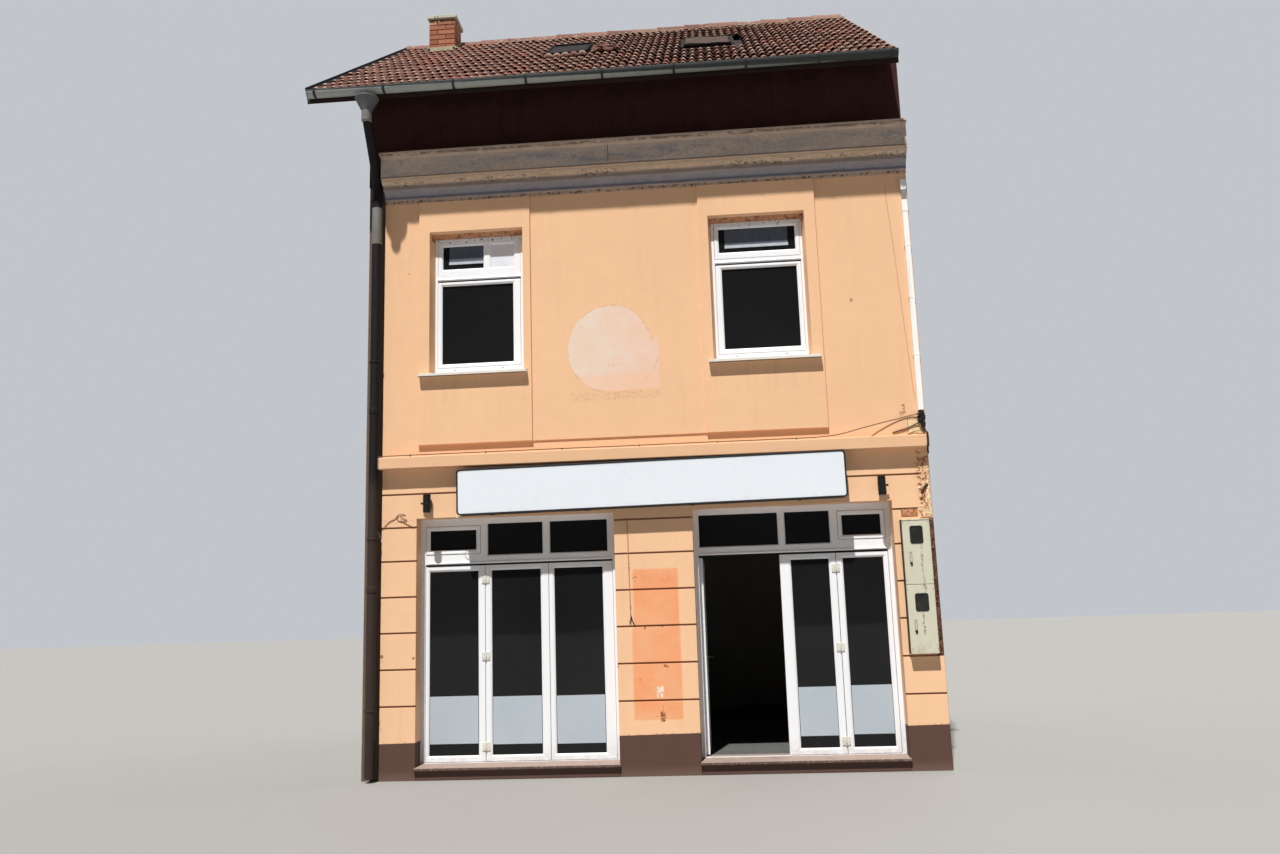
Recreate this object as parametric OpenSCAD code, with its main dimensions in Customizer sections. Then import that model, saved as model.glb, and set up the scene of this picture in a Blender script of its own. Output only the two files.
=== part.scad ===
// Two-storey shop building in a row: rendered masonry, two glazed shopfronts,
// a main cornice, a knee wall under the eaves and a gabled tiled roof.
// All sizes in millimetres. X runs along the front, Y into the building, Z up.

/* [Building] */
// width of the painted front
front_w = 6000; // [5990:5:6100]
// depth from front face to rear face
building_d = 6300; // [6100:50:6800]
// thickness of front and rear walls
wall_t = 400; // [330:10:450]
// thickness of the party walls
party_t = 350; // [250:10:390]

/* [Storeys] */
// top of the ground floor slab
floor_top = 150; // [130:5:155]
// top of the upper floor slab
upper_floor_top = 3500; // [3420:10:3550]
// thickness of the upper floor slab
upper_floor_t = 270; // [180:10:300]
// underside of the attic floor
attic_floor_z = 6450; // [6300:10:6480]

/* [Shop openings] */
// height of the shop opening heads
shop_head = 2780; // [2775:5:2795]
// recess of the shop frames behind the front face
shop_recess = 200; // [150:10:220]
// left edge of the left shop opening
left_shop_x0 = 396; // [390:1:400]
// right edge of the left shop opening
left_shop_x1 = 2585; // [2580:1:2600]
// left edge of the right shop opening
right_shop_x0 = 3440; // [3435:1:3445]
// right edge of the right shop opening
right_shop_x1 = 5577; // [5572:1:5590]

/* [Upper windows] */
// left edge of the left upper window
left_win_x = 539; // [520:1:560]
// left edge of the right upper window
right_win_x = 3751; // [3720:1:3780]
// width of an upper window opening
win_w = 1082; // [1050:2:1110]
// bottom of an upper window opening, under its sill
win_z0 = 4420; // [4350:5:4500]
// top of an upper window opening
win_z1 = 6085; // [6000:5:6200]
// recess of the window frames behind the wall face
win_recess = 100; // [60:5:150]

/* [Roof] */
// roof pitch in degrees
pitch = 35.5; // [35:0.5:37]
// overhang of the tiled slope past the front face
eave_over = 600; // [500:10:640]
// height of the tile surface at the eaves
eave_z = 7663; // [7600:1:7720]
// thickness of a roof slope, square to the slope
roof_t = 140; // [100:5:160]
// overhang of the roof past the painted front's left edge
left_over = 755; // [600:5:850]

/* [Details] */
// outer radius of the half-round gutters
gutter_r = 65; // [55:1:65]
// outer radius of the downpipe
pipe_r = 54; // [45:1:60]
// depth of the signboard
sign_depth = 150; // [80:5:200]

/* [Hidden] */
$fn = 48;
ox = -2900;
oy = -building_d/2;
left_x = -200;
wing_back = 30;
tp = tan(pitch);
roof_v = roof_t/cos(pitch);
ridge_y = building_d/2;
ridge_z = eave_z + (ridge_y + eave_over)*tp;
roof_x0 = -left_over + 30;
roof_x1 = front_w - 95;
attic_wall_z = 6700;
lintel_top = 3400;
frame_d = 60;
rear_low_z = 900;
rear_low_h = 1500;
door_pivot_x = right_shop_x0 + 19;
door_pivot_y = shop_recess + 74;
bed = 0.5;

// height of the tile surface and of the roof's underside at a depth y
function top_z(y) = y <= ridge_y ? eave_z + (y + eave_over)*tp : eave_z + (2*ridge_y - y + eave_over)*tp;
function under_z(y) = top_z(y) - roof_v;

// moves the drawing frame to the centre of the plan
module at_plan() { translate([ox, oy, 0]) children(); }
// a block between two corners
module bx(x0, x1, y0, y1, z0, z1) { translate([x0, y0, z0]) cube([x1 - x0, y1 - y0, z1 - z0]); }
// a profile in Y and Z, run along X
module along_x(x0, x1) { translate([x0, 0, 0]) rotate([90, 0, 90]) linear_extrude(height = x1 - x0) children(); }
// front wall plan with the narrow set-back wing behind the downpipe
module front_plan(z0, z1) {
  translate([0, 0, z0]) linear_extrude(height = z1 - z0)
    polygon([[left_x, wing_back], [0, wing_back], [0, 0], [front_w, 0], [front_w, wall_t], [left_x, wall_t]]);
}
// cylinder between two points
module rod(p, q, r) {
  d = q - p;
  l = norm(d);
  translate(p) rotate([0, acos(d[2]/l), atan2(d[1], d[0])]) cylinder(h = l, r = r);
}

module left_pier() { color([0.96, 0.78, 0.60]) at_plan()
  linear_extrude(height = shop_head)
    polygon([[left_x, wing_back], [0, wing_back], [0, 0], [left_shop_x0, 0], [left_shop_x0, wall_t], [left_x, wall_t]]); }

module middle_pier() { color([0.96, 0.78, 0.60]) at_plan()
  bx(left_shop_x1, right_shop_x0, 0, wall_t, 0, shop_head); }

module right_pier() { color([0.96, 0.78, 0.60]) at_plan()
  bx(right_shop_x1, front_w, 0, wall_t, 0, shop_head); }

module shop_lintel() { color([0.96, 0.78, 0.60]) at_plan() front_plan(shop_head, lintel_top); }

module window_holes(y0, y1) {
  bx(left_win_x, left_win_x + win_w, y0, y1, win_z0, win_z1);
  bx(right_win_x, right_win_x + win_w, y0, y1, win_z0, win_z1);
}
// a splayed reveal: wide at the face, narrow at the frame and beyond it
module reveal(x, z0, z1) {
  hull() {
    bx(x, x + win_w, -10, 0, z0, z1);
    bx(x + 30, x + win_w - 24, win_recess, win_recess + 10, z0, z1 - 45);
  }
  bx(x + 30, x + win_w - 24, win_recess, wall_t + 10, z0, z1 - 45);
}

module upper_front_wall() { color([0.96, 0.78, 0.60]) at_plan() difference() {
  front_plan(lintel_top, attic_wall_z);
  reveal(left_win_x, win_z0, win_z1);
  reveal(right_win_x, win_z0, win_z1);
  sill_bed(left_win_x, win_z0, -40);
  sill_bed(right_win_x, win_z0, -40);
} }

module front_attic_wall() { color([0.30, 0.17, 0.15]) at_plan()
  along_x(left_x, front_w) polygon([[0, attic_wall_z], [wall_t, attic_wall_z], [wall_t, under_z(wall_t) - bed], [0, under_z(0) - bed]]); }

module party_profile() {
  polygon([[wall_t, 0], [building_d - wall_t, 0], [building_d - wall_t, under_z(building_d - wall_t) - bed],
    [ridge_y, ridge_z - roof_v - bed], [wall_t, under_z(wall_t) - bed]]);
}

module left_party_wall() { color([0.72, 0.70, 0.66]) at_plan() along_x(left_x, left_x + party_t) party_profile(); }

module right_party_wall() { color([0.72, 0.70, 0.66]) at_plan() along_x(front_w - party_t, front_w) party_profile(); }

module rear_wall() { color([0.93, 0.76, 0.60]) at_plan() difference() {
  along_x(left_x, front_w) polygon([[building_d - wall_t, 0], [building_d, 0], [building_d, under_z(building_d) - bed],
    [building_d - wall_t, under_z(building_d - wall_t) - bed]]);
  rear_flip() {
    for (x = [left_win_x, right_win_x]) { reveal(x, win_z0, win_z1); sill_bed(x, win_z0, 0); }
    reveal(left_win_x, rear_low_z, rear_low_z + rear_low_h);
    sill_bed(left_win_x, rear_low_z, 0);
  }
} }

module slab(z0, z1) { bx(left_x + party_t, front_w - party_t, wall_t, building_d - wall_t, z0, z1); }

module ground_floor() { color([0.72, 0.72, 0.70]) at_plan() slab(0, floor_top); }

module upper_floor() { color([0.70, 0.66, 0.60]) at_plan() slab(upper_floor_top - upper_floor_t, upper_floor_top); }

module attic_floor() { color([0.70, 0.66, 0.60]) at_plan() slab(attic_floor_z, attic_floor_z + 200); }

module string_course() { color([0.90, 0.74, 0.58]) at_plan() bx(-20, front_w, -120, 0, 3330, 3470); }

module cornice() { color([0.52, 0.46, 0.43]) at_plan()
  along_x(10, front_w) polygon([[0, 6460], [-30, 6460], [-30, 6500], [-52, 6500], [-62, 6540], [-84, 6575], [-118, 6598],
    [-118, 6640], [-150, 6652], [-178, 6672], [-196, 6700], [-220, 6700], [-220, 6935], [-250, 6945], [-280, 6955],
    [-300, 6962], [-300, 6990], [0, 6990]]); }

module upper_panel() { color([0.96, 0.78, 0.60]) at_plan() difference() {
  translate([0, 0, 3594]) linear_extrude(height = 6460 - 3594)
    polygon([[413, 0], [413, -40], [1708, -40], [1708, -15], [3640, -15], [3640, -40], [4959, -40], [4959, 0]]);
  window_holes(-60, 10);
  sill_bed(left_win_x, win_z0, -40);
  sill_bed(right_win_x, win_z0, -40);
} }

module slope_profile() { polygon([[-eave_over, eave_z - roof_v], [-eave_over, eave_z], [ridge_y, ridge_z], [ridge_y, ridge_z - roof_v]]); }

module rear_mirror() { translate([0, 2*ridge_y, 0]) mirror([0, 1, 0]) children(); }

module front_roof() { color([0.62, 0.40, 0.32]) at_plan() difference() {
  along_x(roof_x0, roof_x1) slope_profile();
  bx(-256, 128, 2640, 3020, 9000, 11500);
} }

module rear_roof() { color([0.62, 0.40, 0.32]) at_plan() rear_mirror() along_x(roof_x0, roof_x1) slope_profile(); }

module ridge_tiles() { color([0.66, 0.46, 0.38]) at_plan()
  along_x(roof_x0, roof_x1) polygon(concat([[ridge_y, ridge_z + bed]],
    [for (a = [0:15:180]) [ridge_y + 120*cos(a), ridge_z + bed - 120*tp + 132*sin(a)]])); }

module verge_profile() { polygon([[-eave_over, eave_z - roof_v - 20], [-eave_over, eave_z + 33], [ridge_y, ridge_z + 33], [ridge_y, ridge_z - roof_v - 20]]); }

module front_verge() { color([0.13, 0.13, 0.14]) at_plan() along_x(-left_over, roof_x0) verge_profile(); }

module rear_verge() { color([0.13, 0.13, 0.14]) at_plan() rear_mirror() along_x(-left_over, roof_x0) verge_profile(); }

module gutter_profile() {
  difference() {
    intersection() { circle(r = gutter_r); translate([-gutter_r, -gutter_r]) square([2*gutter_r, gutter_r]); }
    circle(r = gutter_r - 6);
  }
}

module gutter() {
  translate([0, -eave_over - gutter_r, 7590]) {
    along_x(-left_over + 59, roof_x1 - 19) gutter_profile();
    along_x(-left_over + 55, -left_over + 61) intersection() { circle(r = gutter_r); translate([-gutter_r, -gutter_r]) square([2*gutter_r, gutter_r]); }
    along_x(roof_x1 - 21, roof_x1 - 15) intersection() { circle(r = gutter_r); translate([-gutter_r, -gutter_r]) square([2*gutter_r, gutter_r]); }
  }
}

module front_gutter() { color([0.42, 0.44, 0.42]) at_plan() gutter(); }

module rear_gutter() { color([0.42, 0.44, 0.42]) at_plan() rear_mirror() gutter(); }

module downpipe() { color([0.10, 0.09, 0.09]) at_plan() {
  a = [-75, -75, 6760];
  b = [-10, -eave_over - gutter_r, 7262];
  rod([-75, -75, 40], a, pipe_r);
  translate(a) sphere(r = pipe_r + 5);
  rod(a, b, pipe_r);
  translate(b) sphere(r = pipe_r + 5);
  rod(b, [b[0], b[1], 7360], pipe_r);
  translate([b[0], b[1], 7355]) cylinder(h = 90, r1 = pipe_r + 4, r2 = 128);
  translate([b[0], b[1], 7440]) cylinder(h = 45, r = 134);
} }

module chimney() { color([0.72, 0.40, 0.29]) at_plan()
  along_x(-256, 128) polygon([[2640, under_z(2640)], [3020, under_z(3020)], [3020, 10470], [2640, 10470]]); }

module chimney_cap() { color([0.76, 0.76, 0.68]) at_plan() bx(-282, 157, 2610, 3050, 10470, 10540); }

module skylight(x0, x1) {
  along_x(x0, x1)
    polygon([[900, top_z(900)], [1700, top_z(1700)], [1700, top_z(1700) + 60], [900, top_z(900) + 60]]);
}

module skylights() { color([0.20, 0.22, 0.23]) at_plan() { skylight(1760, 2305); skylight(3545, 4150); } }

// the board hangs a little off level, its right end higher
module signboard() { color([0.92, 0.93, 0.95]) at_plan() translate([2991, 0, 3055]) rotate([0, -0.53, 0])
  bx(-2113, 2113, -sign_depth, 0, -252, 252); }

module wall_lamp(x) {
  translate([x, -66, 2835]) cylinder(h = 200, r = 42);
  translate([x - 35, -30, 2885]) cube([70, 30, 100]);
}

module wall_lamps() { color([0.05, 0.05, 0.05]) at_plan() { wall_lamp(528); wall_lamp(5476); } }

module meter_cabinet() { color([0.80, 0.78, 0.67]) at_plan() bx(5648, 5934, -100, 0, 1172, 2563); }

module cable_trunking() { color([0.92, 0.92, 0.90]) at_plan() bx(5925, 5985, -40, 0, 3740, 6390); }

// a cable along the string course, rising to the trunking, and a short conduit on the middle pier
module wall_cables() { color([0.06, 0.05, 0.05]) at_plan() {
  way = [[-10, -105, 3477], [4900, -105, 3477], [5330, -90, 3520], [5700, -60, 3600], [5950, -22, 3728]];
  for (i = [0:3]) rod(way[i], way[i + 1], 6);
  for (i = [1:3]) translate(way[i]) sphere(r = 6.6);
  rod([2737, -8, 1650], [2737, -8, 2700], 7);
} }

// a door sill with a sloping top and a thin nose in front of the face
module threshold(x0, x1) {
  along_x(x0, x1) polygon([[0, 0], [wall_t, 0], [wall_t, floor_top], [shop_recess + frame_d + 1, floor_top], [shop_recess + frame_d + 1, 130],
    [shop_recess - bed, 130], [shop_recess - bed, 148], [0, 131.5]]);
  along_x(x0 - 10, x1 + 10) polygon([[-40, 102], [0, 102], [0, 131.5], [-40, 128]]);
}

module thresholds() { color([0.70, 0.68, 0.65]) at_plan() {
  threshold(left_shop_x0, left_shop_x1);
  threshold(right_shop_x0, right_shop_x1);
} }

// panes of the shopfronts: x0, x1, z0, z1
left_leaf_panes = [[489, 1034, 222, 2194], [1188, 1733, 222, 2194], [1889, 2422, 222, 2194]];
left_top_panes = [[496, 1015, 2433, 2649], [1146, 1761, 2367, 2713], [1847, 2484, 2367, 2713]];
right_leaf_panes = [[4487, 4891, 223, 2194], [5045, 5474, 223, 2194]];
right_top_panes = [[3502, 4360, 2367, 2713], [4441, 4922, 2367, 2713], [5058, 5470, 2442, 2657]];

module panes(list, y0, y1) { for (p = list) bx(p[0], p[1], y0, y1, p[2], p[3]); }

module left_shop_frame() { color([0.94, 0.94, 0.95]) at_plan() difference() {
  bx(left_shop_x0, left_shop_x1, shop_recess, shop_recess + frame_d, 130, shop_head);
  bx(left_shop_x0 + 45, left_shop_x1 - 45, shop_recess - 10, shop_recess + frame_d + 10, 150, 2274);
  panes(left_top_panes, shop_recess - 10, shop_recess + frame_d + 10);
} }

module left_folding_doors() { color([0.94, 0.94, 0.95]) at_plan() difference() {
  panes([[left_shop_x0 + 49, 1112, 155, 2253], [1116, 1824, 155, 2253], [1828, left_shop_x1 - 49, 155, 2253]],
    shop_recess + 4, shop_recess + 56);
  panes(left_leaf_panes, shop_recess - 10, shop_recess + frame_d + 10);
} }

module right_shop_frame() { color([0.94, 0.94, 0.95]) at_plan() difference() {
  bx(right_shop_x0, right_shop_x1, shop_recess, shop_recess + frame_d, 130, shop_head);
  bx(right_shop_x0 + 45, right_shop_x1 - 45, shop_recess - 10, shop_recess + frame_d + 10, 150, 2276);
  panes(right_top_panes, shop_recess - 10, shop_recess + frame_d + 10);
} }

module right_folding_doors() { color([0.94, 0.94, 0.95]) at_plan() difference() {
  panes([[4365, 4968, 155, 2253], [4973, right_shop_x1 - 49, 155, 2253]], shop_recess + 4, shop_recess + 56);
  panes(right_leaf_panes, shop_recess - 10, shop_recess + frame_d + 10);
} }

module shop_glass() { color([0.12, 0.14, 0.15, 0.5]) at_plan()
  panes(concat(left_leaf_panes, left_top_panes, right_leaf_panes, right_top_panes), shop_recess + 20, shop_recess + 36); }

// the single door leaf, drawn closed and turned open about its hinge line
module door_open() { translate([door_pivot_x, door_pivot_y, 0]) rotate([0, 0, 90]) translate([-door_pivot_x, -door_pivot_y, 0]) children(); }

module shop_door() { color([0.94, 0.94, 0.95]) at_plan() door_open() {
  difference() {
    bx(3491, 4355, shop_recess + 6, shop_recess + 58, 165, 2250);
    bx(3568, 4278, shop_recess - 10, shop_recess + 70, 222, 2194);
  }
  for (z = [380, 1200, 2020]) {
    translate([door_pivot_x, door_pivot_y, z]) cylinder(h = 90, r = 8);
    bx(door_pivot_x, 3530, door_pivot_y - 6, door_pivot_y - 1, z, z + 90);
    bx(3496, 3530, shop_recess + 57, door_pivot_y - 5, z, z + 90);
  }
} }

module door_glass() { color([0.12, 0.14, 0.15, 0.5]) at_plan() door_open()
  bx(3568, 4278, shop_recess + 24, shop_recess + 40, 222, 2194); }

// lights of a window, from its opening's left edge and its frame's foot: x0, x1, z0, z1
left_lights = [[114, 941, 97, 1023], [119, 593, 1232, 1504], [684, 947, 1232, 1504]];
single_lights = [[133, 978, 109, 1042], [114, 978, 1242, 1519]];
low_lights = [[127, 963, 106, 860], [119, 958, 1020, 1300]];

module window_at(x, z, lights, h) { translate([x, win_recess, z]) difference() {
  bx(30, win_w - 24, 0, frame_d, 0, h);
  panes(lights, -10, frame_d + 10);
} }

module glass_at(x, z, lights) { translate([x, win_recess, z]) panes(lights, 20, 36); }

win_h = win_z1 - 45 - win_z0 - 27;

module window_frames() { color([0.94, 0.94, 0.95]) at_plan() {
  window_at(left_win_x, win_z0 + 27, left_lights, win_h);
  window_at(right_win_x, win_z0 + 27, single_lights, win_h);
} }

module window_glass() { color([0.12, 0.14, 0.15, 0.5]) at_plan() {
  glass_at(left_win_x, win_z0 + 27, left_lights);
  glass_at(right_win_x, win_z0 + 27, single_lights);
} }

// underside of a sloping sill at a depth y
function sill_z(z, face, y) = z - 52 + 52*(y - face + 75)/(win_recess - face + 75);
// the sloping bed that a sill lies on, cut out of the masonry
module sill_bed(x, z, face) {
  along_x(x + 29, x + win_w - 23) polygon([[face - 2, sill_z(z, face, face - 2) - bed], [win_recess + 2, sill_z(z, face, win_recess + 2) - bed],
    [win_recess + 2, z + 8], [face - 2, z + 8]]);
}
// a thin sloping sill: wide in front of the face, narrow inside the reveal
module sill(x, z, face, left, right) {
  function at(y) = sill_z(z, face, y);
  along_x(x - left, x + win_w + right) polygon([[face - 75, at(face - 75)], [face, at(face)], [face, at(face) + 27], [face - 75, at(face - 75) + 27]]);
  along_x(x + 30, x + win_w - 24) polygon([[face - 1, at(face - 1)], [win_recess, at(win_recess)], [win_recess, at(win_recess) + 27], [face - 1, at(face - 1) + 27]]);
}

module rear_flip() { translate([0, building_d, 0]) mirror([0, 1, 0]) children(); }

module window_sills() { color([0.86, 0.84, 0.80]) at_plan() {
  sill(left_win_x, win_z0, -40, 109, 38);
  sill(right_win_x, win_z0, -40, 52, 90);
} }

module rear_sills() { color([0.86, 0.84, 0.80]) at_plan() rear_flip() {
  for (x = [left_win_x, right_win_x]) sill(x, win_z0, 0, 60, 60);
  sill(left_win_x, rear_low_z, 0, 60, 60);
} }

module rear_window_frames() { color([0.94, 0.94, 0.95]) at_plan() rear_flip() {
  window_at(left_win_x, win_z0 + 27, single_lights, win_h);
  window_at(right_win_x, win_z0 + 27, single_lights, win_h);
  window_at(left_win_x, rear_low_z + 27, low_lights, rear_low_h - 72);
} }

module rear_window_glass() { color([0.12, 0.14, 0.15, 0.5]) at_plan() rear_flip() {
  glass_at(left_win_x, win_z0 + 27, single_lights);
  glass_at(right_win_x, win_z0 + 27, single_lights);
  glass_at(left_win_x, rear_low_z + 27, low_lights);
} }

left_pier();
middle_pier();
right_pier();
shop_lintel();
upper_front_wall();
front_attic_wall();
left_party_wall();
right_party_wall();
rear_wall();
ground_floor();
upper_floor();
attic_floor();
string_course();
cornice();
upper_panel();
front_roof();
rear_roof();
ridge_tiles();
front_verge();
rear_verge();
front_gutter();
rear_gutter();
downpipe();
chimney();
chimney_cap();
skylights();
signboard();
wall_lamps();
meter_cabinet();
cable_trunking();
wall_cables();
thresholds();
left_shop_frame();
left_folding_doors();
right_shop_frame();
right_folding_doors();
shop_glass();
shop_door();
door_glass();
window_frames();
window_glass();
window_sills();
rear_window_frames();
rear_window_glass();
rear_sills();
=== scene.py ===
import bpy
import bmesh
import math
import random
from mathutils import Vector, Matrix


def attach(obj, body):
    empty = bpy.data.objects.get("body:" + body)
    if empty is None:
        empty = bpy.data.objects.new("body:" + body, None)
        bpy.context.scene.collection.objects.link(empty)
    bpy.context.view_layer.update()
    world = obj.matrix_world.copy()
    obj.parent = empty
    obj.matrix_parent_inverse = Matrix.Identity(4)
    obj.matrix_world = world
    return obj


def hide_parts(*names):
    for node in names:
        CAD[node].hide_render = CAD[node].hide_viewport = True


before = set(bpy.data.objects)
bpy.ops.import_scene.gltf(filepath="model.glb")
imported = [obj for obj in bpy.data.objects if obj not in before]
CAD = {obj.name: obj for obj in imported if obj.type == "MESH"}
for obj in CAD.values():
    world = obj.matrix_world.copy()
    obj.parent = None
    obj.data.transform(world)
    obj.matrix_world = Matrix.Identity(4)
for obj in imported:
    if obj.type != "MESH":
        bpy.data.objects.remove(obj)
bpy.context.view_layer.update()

# Measures below are in a facade frame: X from the left edge of the painted front,
# Y from its face inwards, Z up from the ground. OX, OY move it to the model's frame.
OX, OY = -2.9, -3.15
PITCH = math.radians(35.5)
CP, SP, TP = math.cos(PITCH), math.sin(PITCH), math.tan(PITCH)
EAVE_Z, EAVE_Y, RIDGE_Y = 7.663, -0.6, 3.15
RIDGE_Z = EAVE_Z + (RIDGE_Y - EAVE_Y) * TP
SLOPE = (RIDGE_Y - EAVE_Y) / CP
ROOF_X0, ROOF_X1 = -0.725, 5.905


# ---------------------------------------------------------------- camera, light, floor
def make_camera():
    y, p, r = math.radians(-4.3798), math.radians(10.1548), math.radians(1.8098)
    fwd = Vector((math.sin(y) * math.cos(p), math.cos(y) * math.cos(p), math.sin(p)))
    right = Vector((math.cos(y), -math.sin(y), 0.0))
    up = right.cross(fwd)
    r2 = math.cos(r) * right - math.sin(r) * up
    u2 = math.sin(r) * right + math.cos(r) * up
    c = Vector((0.8646, -14.369, 1.6813))
    data = bpy.data.cameras.new("camera")
    data.lens, data.sensor_width, data.sensor_fit = 29.119, 36.0, "HORIZONTAL"
    data.clip_start, data.clip_end = 0.1, 400.0
    ob = bpy.data.objects.new("camera", data)
    ob.matrix_world = Matrix(((r2.x, u2.x, -fwd.x, c.x), (r2.y, u2.y, -fwd.y, c.y), (r2.z, u2.z, -fwd.z, c.z), (0, 0, 0, 1)))
    bpy.context.scene.collection.objects.link(ob)
    bpy.context.scene.camera = ob


def make_lights():
    # a pale studio sky behind the building, a dim one in front of it
    w = bpy.data.worlds.new("studio")
    bpy.context.scene.world = w
    w.use_nodes = True
    t = w.node_tree
    bg = t.nodes["Background"]
    tc = t.nodes.new("ShaderNodeTexCoord")
    sep = t.nodes.new("ShaderNodeSeparateXYZ")
    t.links.new(tc.outputs["Generated"], sep.inputs[0])
    mr = t.nodes.new("ShaderNodeMapRange")
    mr.interpolation_type = "SMOOTHSTEP"
    t.links.new(sep.outputs[1], mr.inputs[0])
    for i, v in enumerate((-0.35, 0.35, 0.075, 0.60)):
        mr.inputs[i + 1].default_value = v
    bg.inputs[0].default_value = (0.90, 0.94, 1.0, 1)
    t.links.new(mr.outputs[0], bg.inputs[1])
    for name, rot, energy, angle, col in (("key", (28.9, 0, -11.6), 5.1, 1.2, (1.0, 0.985, 0.95)), ("fill", (60, 0, 150), 0.55, 60, (1, 1, 1))):
        d = bpy.data.lights.new(name, "SUN")
        d.energy, d.angle, d.color = energy, math.radians(angle), col
        ob = bpy.data.objects.new(name, d)
        ob.rotation_euler = [math.radians(a) for a in rot]
        ob.location = (0, -20, 20)
        bpy.context.scene.collection.objects.link(ob)


# ---------------------------------------------------------------- materials
def C(r, g, b, k=1.0):
    out = []
    for v in (r, g, b):
        v = v / 255.0
        out.append(k * (v / 12.92 if v <= 0.04045 else ((v + 0.055) / 1.055) ** 2.4))
    return (*out, 1.0)


class Mat:
    """A node material whose position input is the facade frame, in metres."""

    def __init__(s, name, rough=0.7, spec=0.4, metal=0.0, coat=0.0, coat_rough=0.1, sheen=0.0):
        s.m = bpy.data.materials.new(name)
        s.m.use_nodes = True
        s.t = s.m.node_tree
        s.t.nodes.clear()
        s.out = s.node("ShaderNodeOutputMaterial")
        s.b = s.node("ShaderNodeBsdfPrincipled")
        s.t.links.new(s.b.outputs[0], s.out.inputs[0])
        s.b.inputs["Roughness"].default_value = rough
        s.b.inputs["Specular IOR Level"].default_value = spec
        s.b.inputs["Metallic"].default_value = metal
        s.b.inputs["Coat Weight"].default_value = coat
        s.b.inputs["Coat Roughness"].default_value = coat_rough
        s.b.inputs["Sheen Weight"].default_value = sheen
        tc = s.node("ShaderNodeTexCoord")
        add = s.node("ShaderNodeVectorMath")
        add.operation = "ADD"
        s.t.links.new(tc.outputs["Object"], add.inputs[0])
        add.inputs[1].default_value = (-OX, -OY, 0)
        s.pos = add.outputs[0]
        sep = s.node("ShaderNodeSeparateXYZ")
        s.t.links.new(s.pos, sep.inputs[0])
        s.x, s.y, s.z = sep.outputs

    def node(s, kind):
        return s.t.nodes.new(kind)

    def put(s, sock, v):
        if isinstance(v, bpy.types.NodeSocket):
            s.t.links.new(v, sock)
        else:
            sock.default_value = v

    def op(s, kind, a, b=0.0, c=0.0, clamp=False):
        n = s.node("ShaderNodeMath")
        n.operation, n.use_clamp = kind, clamp
        for i, v in enumerate((a, b, c)):
            s.put(n.inputs[i], v)
        return n.outputs[0]

    def add(s, a, b):
        return s.op("ADD", a, b)

    def mul(s, a, b):
        return s.op("MULTIPLY", a, b)

    def inv(s, a):
        return s.op("SUBTRACT", 1.0, a)

    def vec(s, x=1.0, y=1.0, z=1.0, base=None):
        n = s.node("ShaderNodeVectorMath")
        n.operation = "MULTIPLY"
        s.t.links.new(base or s.pos, n.inputs[0])
        n.inputs[1].default_value = (x, y, z)
        return n.outputs[0]

    def noise(s, scale, detail=4.0, rough=0.55, vec=None, dist=0.0):
        n = s.node("ShaderNodeTexNoise")
        s.t.links.new(vec or s.pos, n.inputs["Vector"])
        n.inputs["Scale"].default_value = scale
        n.inputs["Detail"].default_value = detail
        n.inputs["Roughness"].default_value = rough
        n.inputs["Distortion"].default_value = dist
        return n.outputs["Fac"]

    def voronoi(s, scale, feature="F1", vec=None, out="Distance"):
        n = s.node("ShaderNodeTexVoronoi")
        n.feature = feature
        s.t.links.new(vec or s.pos, n.inputs["Vector"])
        n.inputs["Scale"].default_value = scale
        return n.outputs[out]

    def smooth(s, v, lo, hi):
        n = s.node("ShaderNodeMapRange")
        n.interpolation_type = "SMOOTHSTEP"
        s.put(n.inputs[0], v)
        s.put(n.inputs[1], lo)
        s.put(n.inputs[2], hi)
        return n.outputs[0]

    def band(s, v, a, b, soft=0.01):
        return s.mul(s.smooth(v, a - soft, a + soft), s.inv(s.smooth(v, b - soft, b + soft)))

    def rect(s, x0, x1, z0, z1, soft=0.01, wob=None):
        x, z = s.x, s.z
        if wob is not None:
            x, z = s.add(x, wob), s.add(z, wob)
        return s.mul(s.band(x, x0, x1, soft), s.band(z, z0, z1, soft))

    def mix(s, fac, a, b, kind="MIX"):
        n = s.node("ShaderNodeMix")
        n.data_type, n.blend_type = "RGBA", kind
        s.put(n.inputs[0], fac)
        s.put(n.inputs[6], a)
        s.put(n.inputs[7], b)
        return n.outputs[2]

    def vary(s, col, fac, low, high):
        """col darkened to low and raised to high times itself as fac goes from 0 to 1"""
        n = s.node("ShaderNodeMapRange")
        s.put(n.inputs[0], fac)
        n.inputs[1].default_value, n.inputs[2].default_value = 0.25, 0.75
        n.inputs[3].default_value, n.inputs[4].default_value = low, high
        h = s.node("ShaderNodeVectorMath")
        h.operation = "SCALE"
        s.put(h.inputs[0], col[:3] if isinstance(col, tuple) else col)
        s.t.links.new(n.outputs[0], h.inputs[3])
        return h.outputs[0]

    def attr(s, name):
        n = s.node("ShaderNodeAttribute")
        n.attribute_name = name
        sep = s.node("ShaderNodeSeparateColor")
        s.t.links.new(n.outputs["Color"], sep.inputs[0])
        return sep.outputs

    def bump(s, height, dist, strength=1.0, normal=None):
        n = s.node("ShaderNodeBump")
        n.inputs["Strength"].default_value = strength
        n.inputs["Distance"].default_value = dist
        s.t.links.new(height, n.inputs["Height"])
        if normal is not None:
            s.t.links.new(normal, n.inputs["Normal"])
        return n.outputs[0]

    def done(s, col, rough=None, normal=None):
        s.put(s.b.inputs["Base Color"], col)
        if rough is not None:
            s.put(s.b.inputs["Roughness"], rough)
        if normal is not None:
            s.t.links.new(normal, s.b.inputs["Normal"])
        return s.m


def rrange(M, fac, lo, hi):
    n = M.node("ShaderNodeMapRange")
    M.put(n.inputs[0], fac)
    n.inputs[1].default_value, n.inputs[2].default_value = 0.3, 0.7
    n.inputs[3].default_value, n.inputs[4].default_value = lo, hi
    return n.outputs[0]


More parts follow.
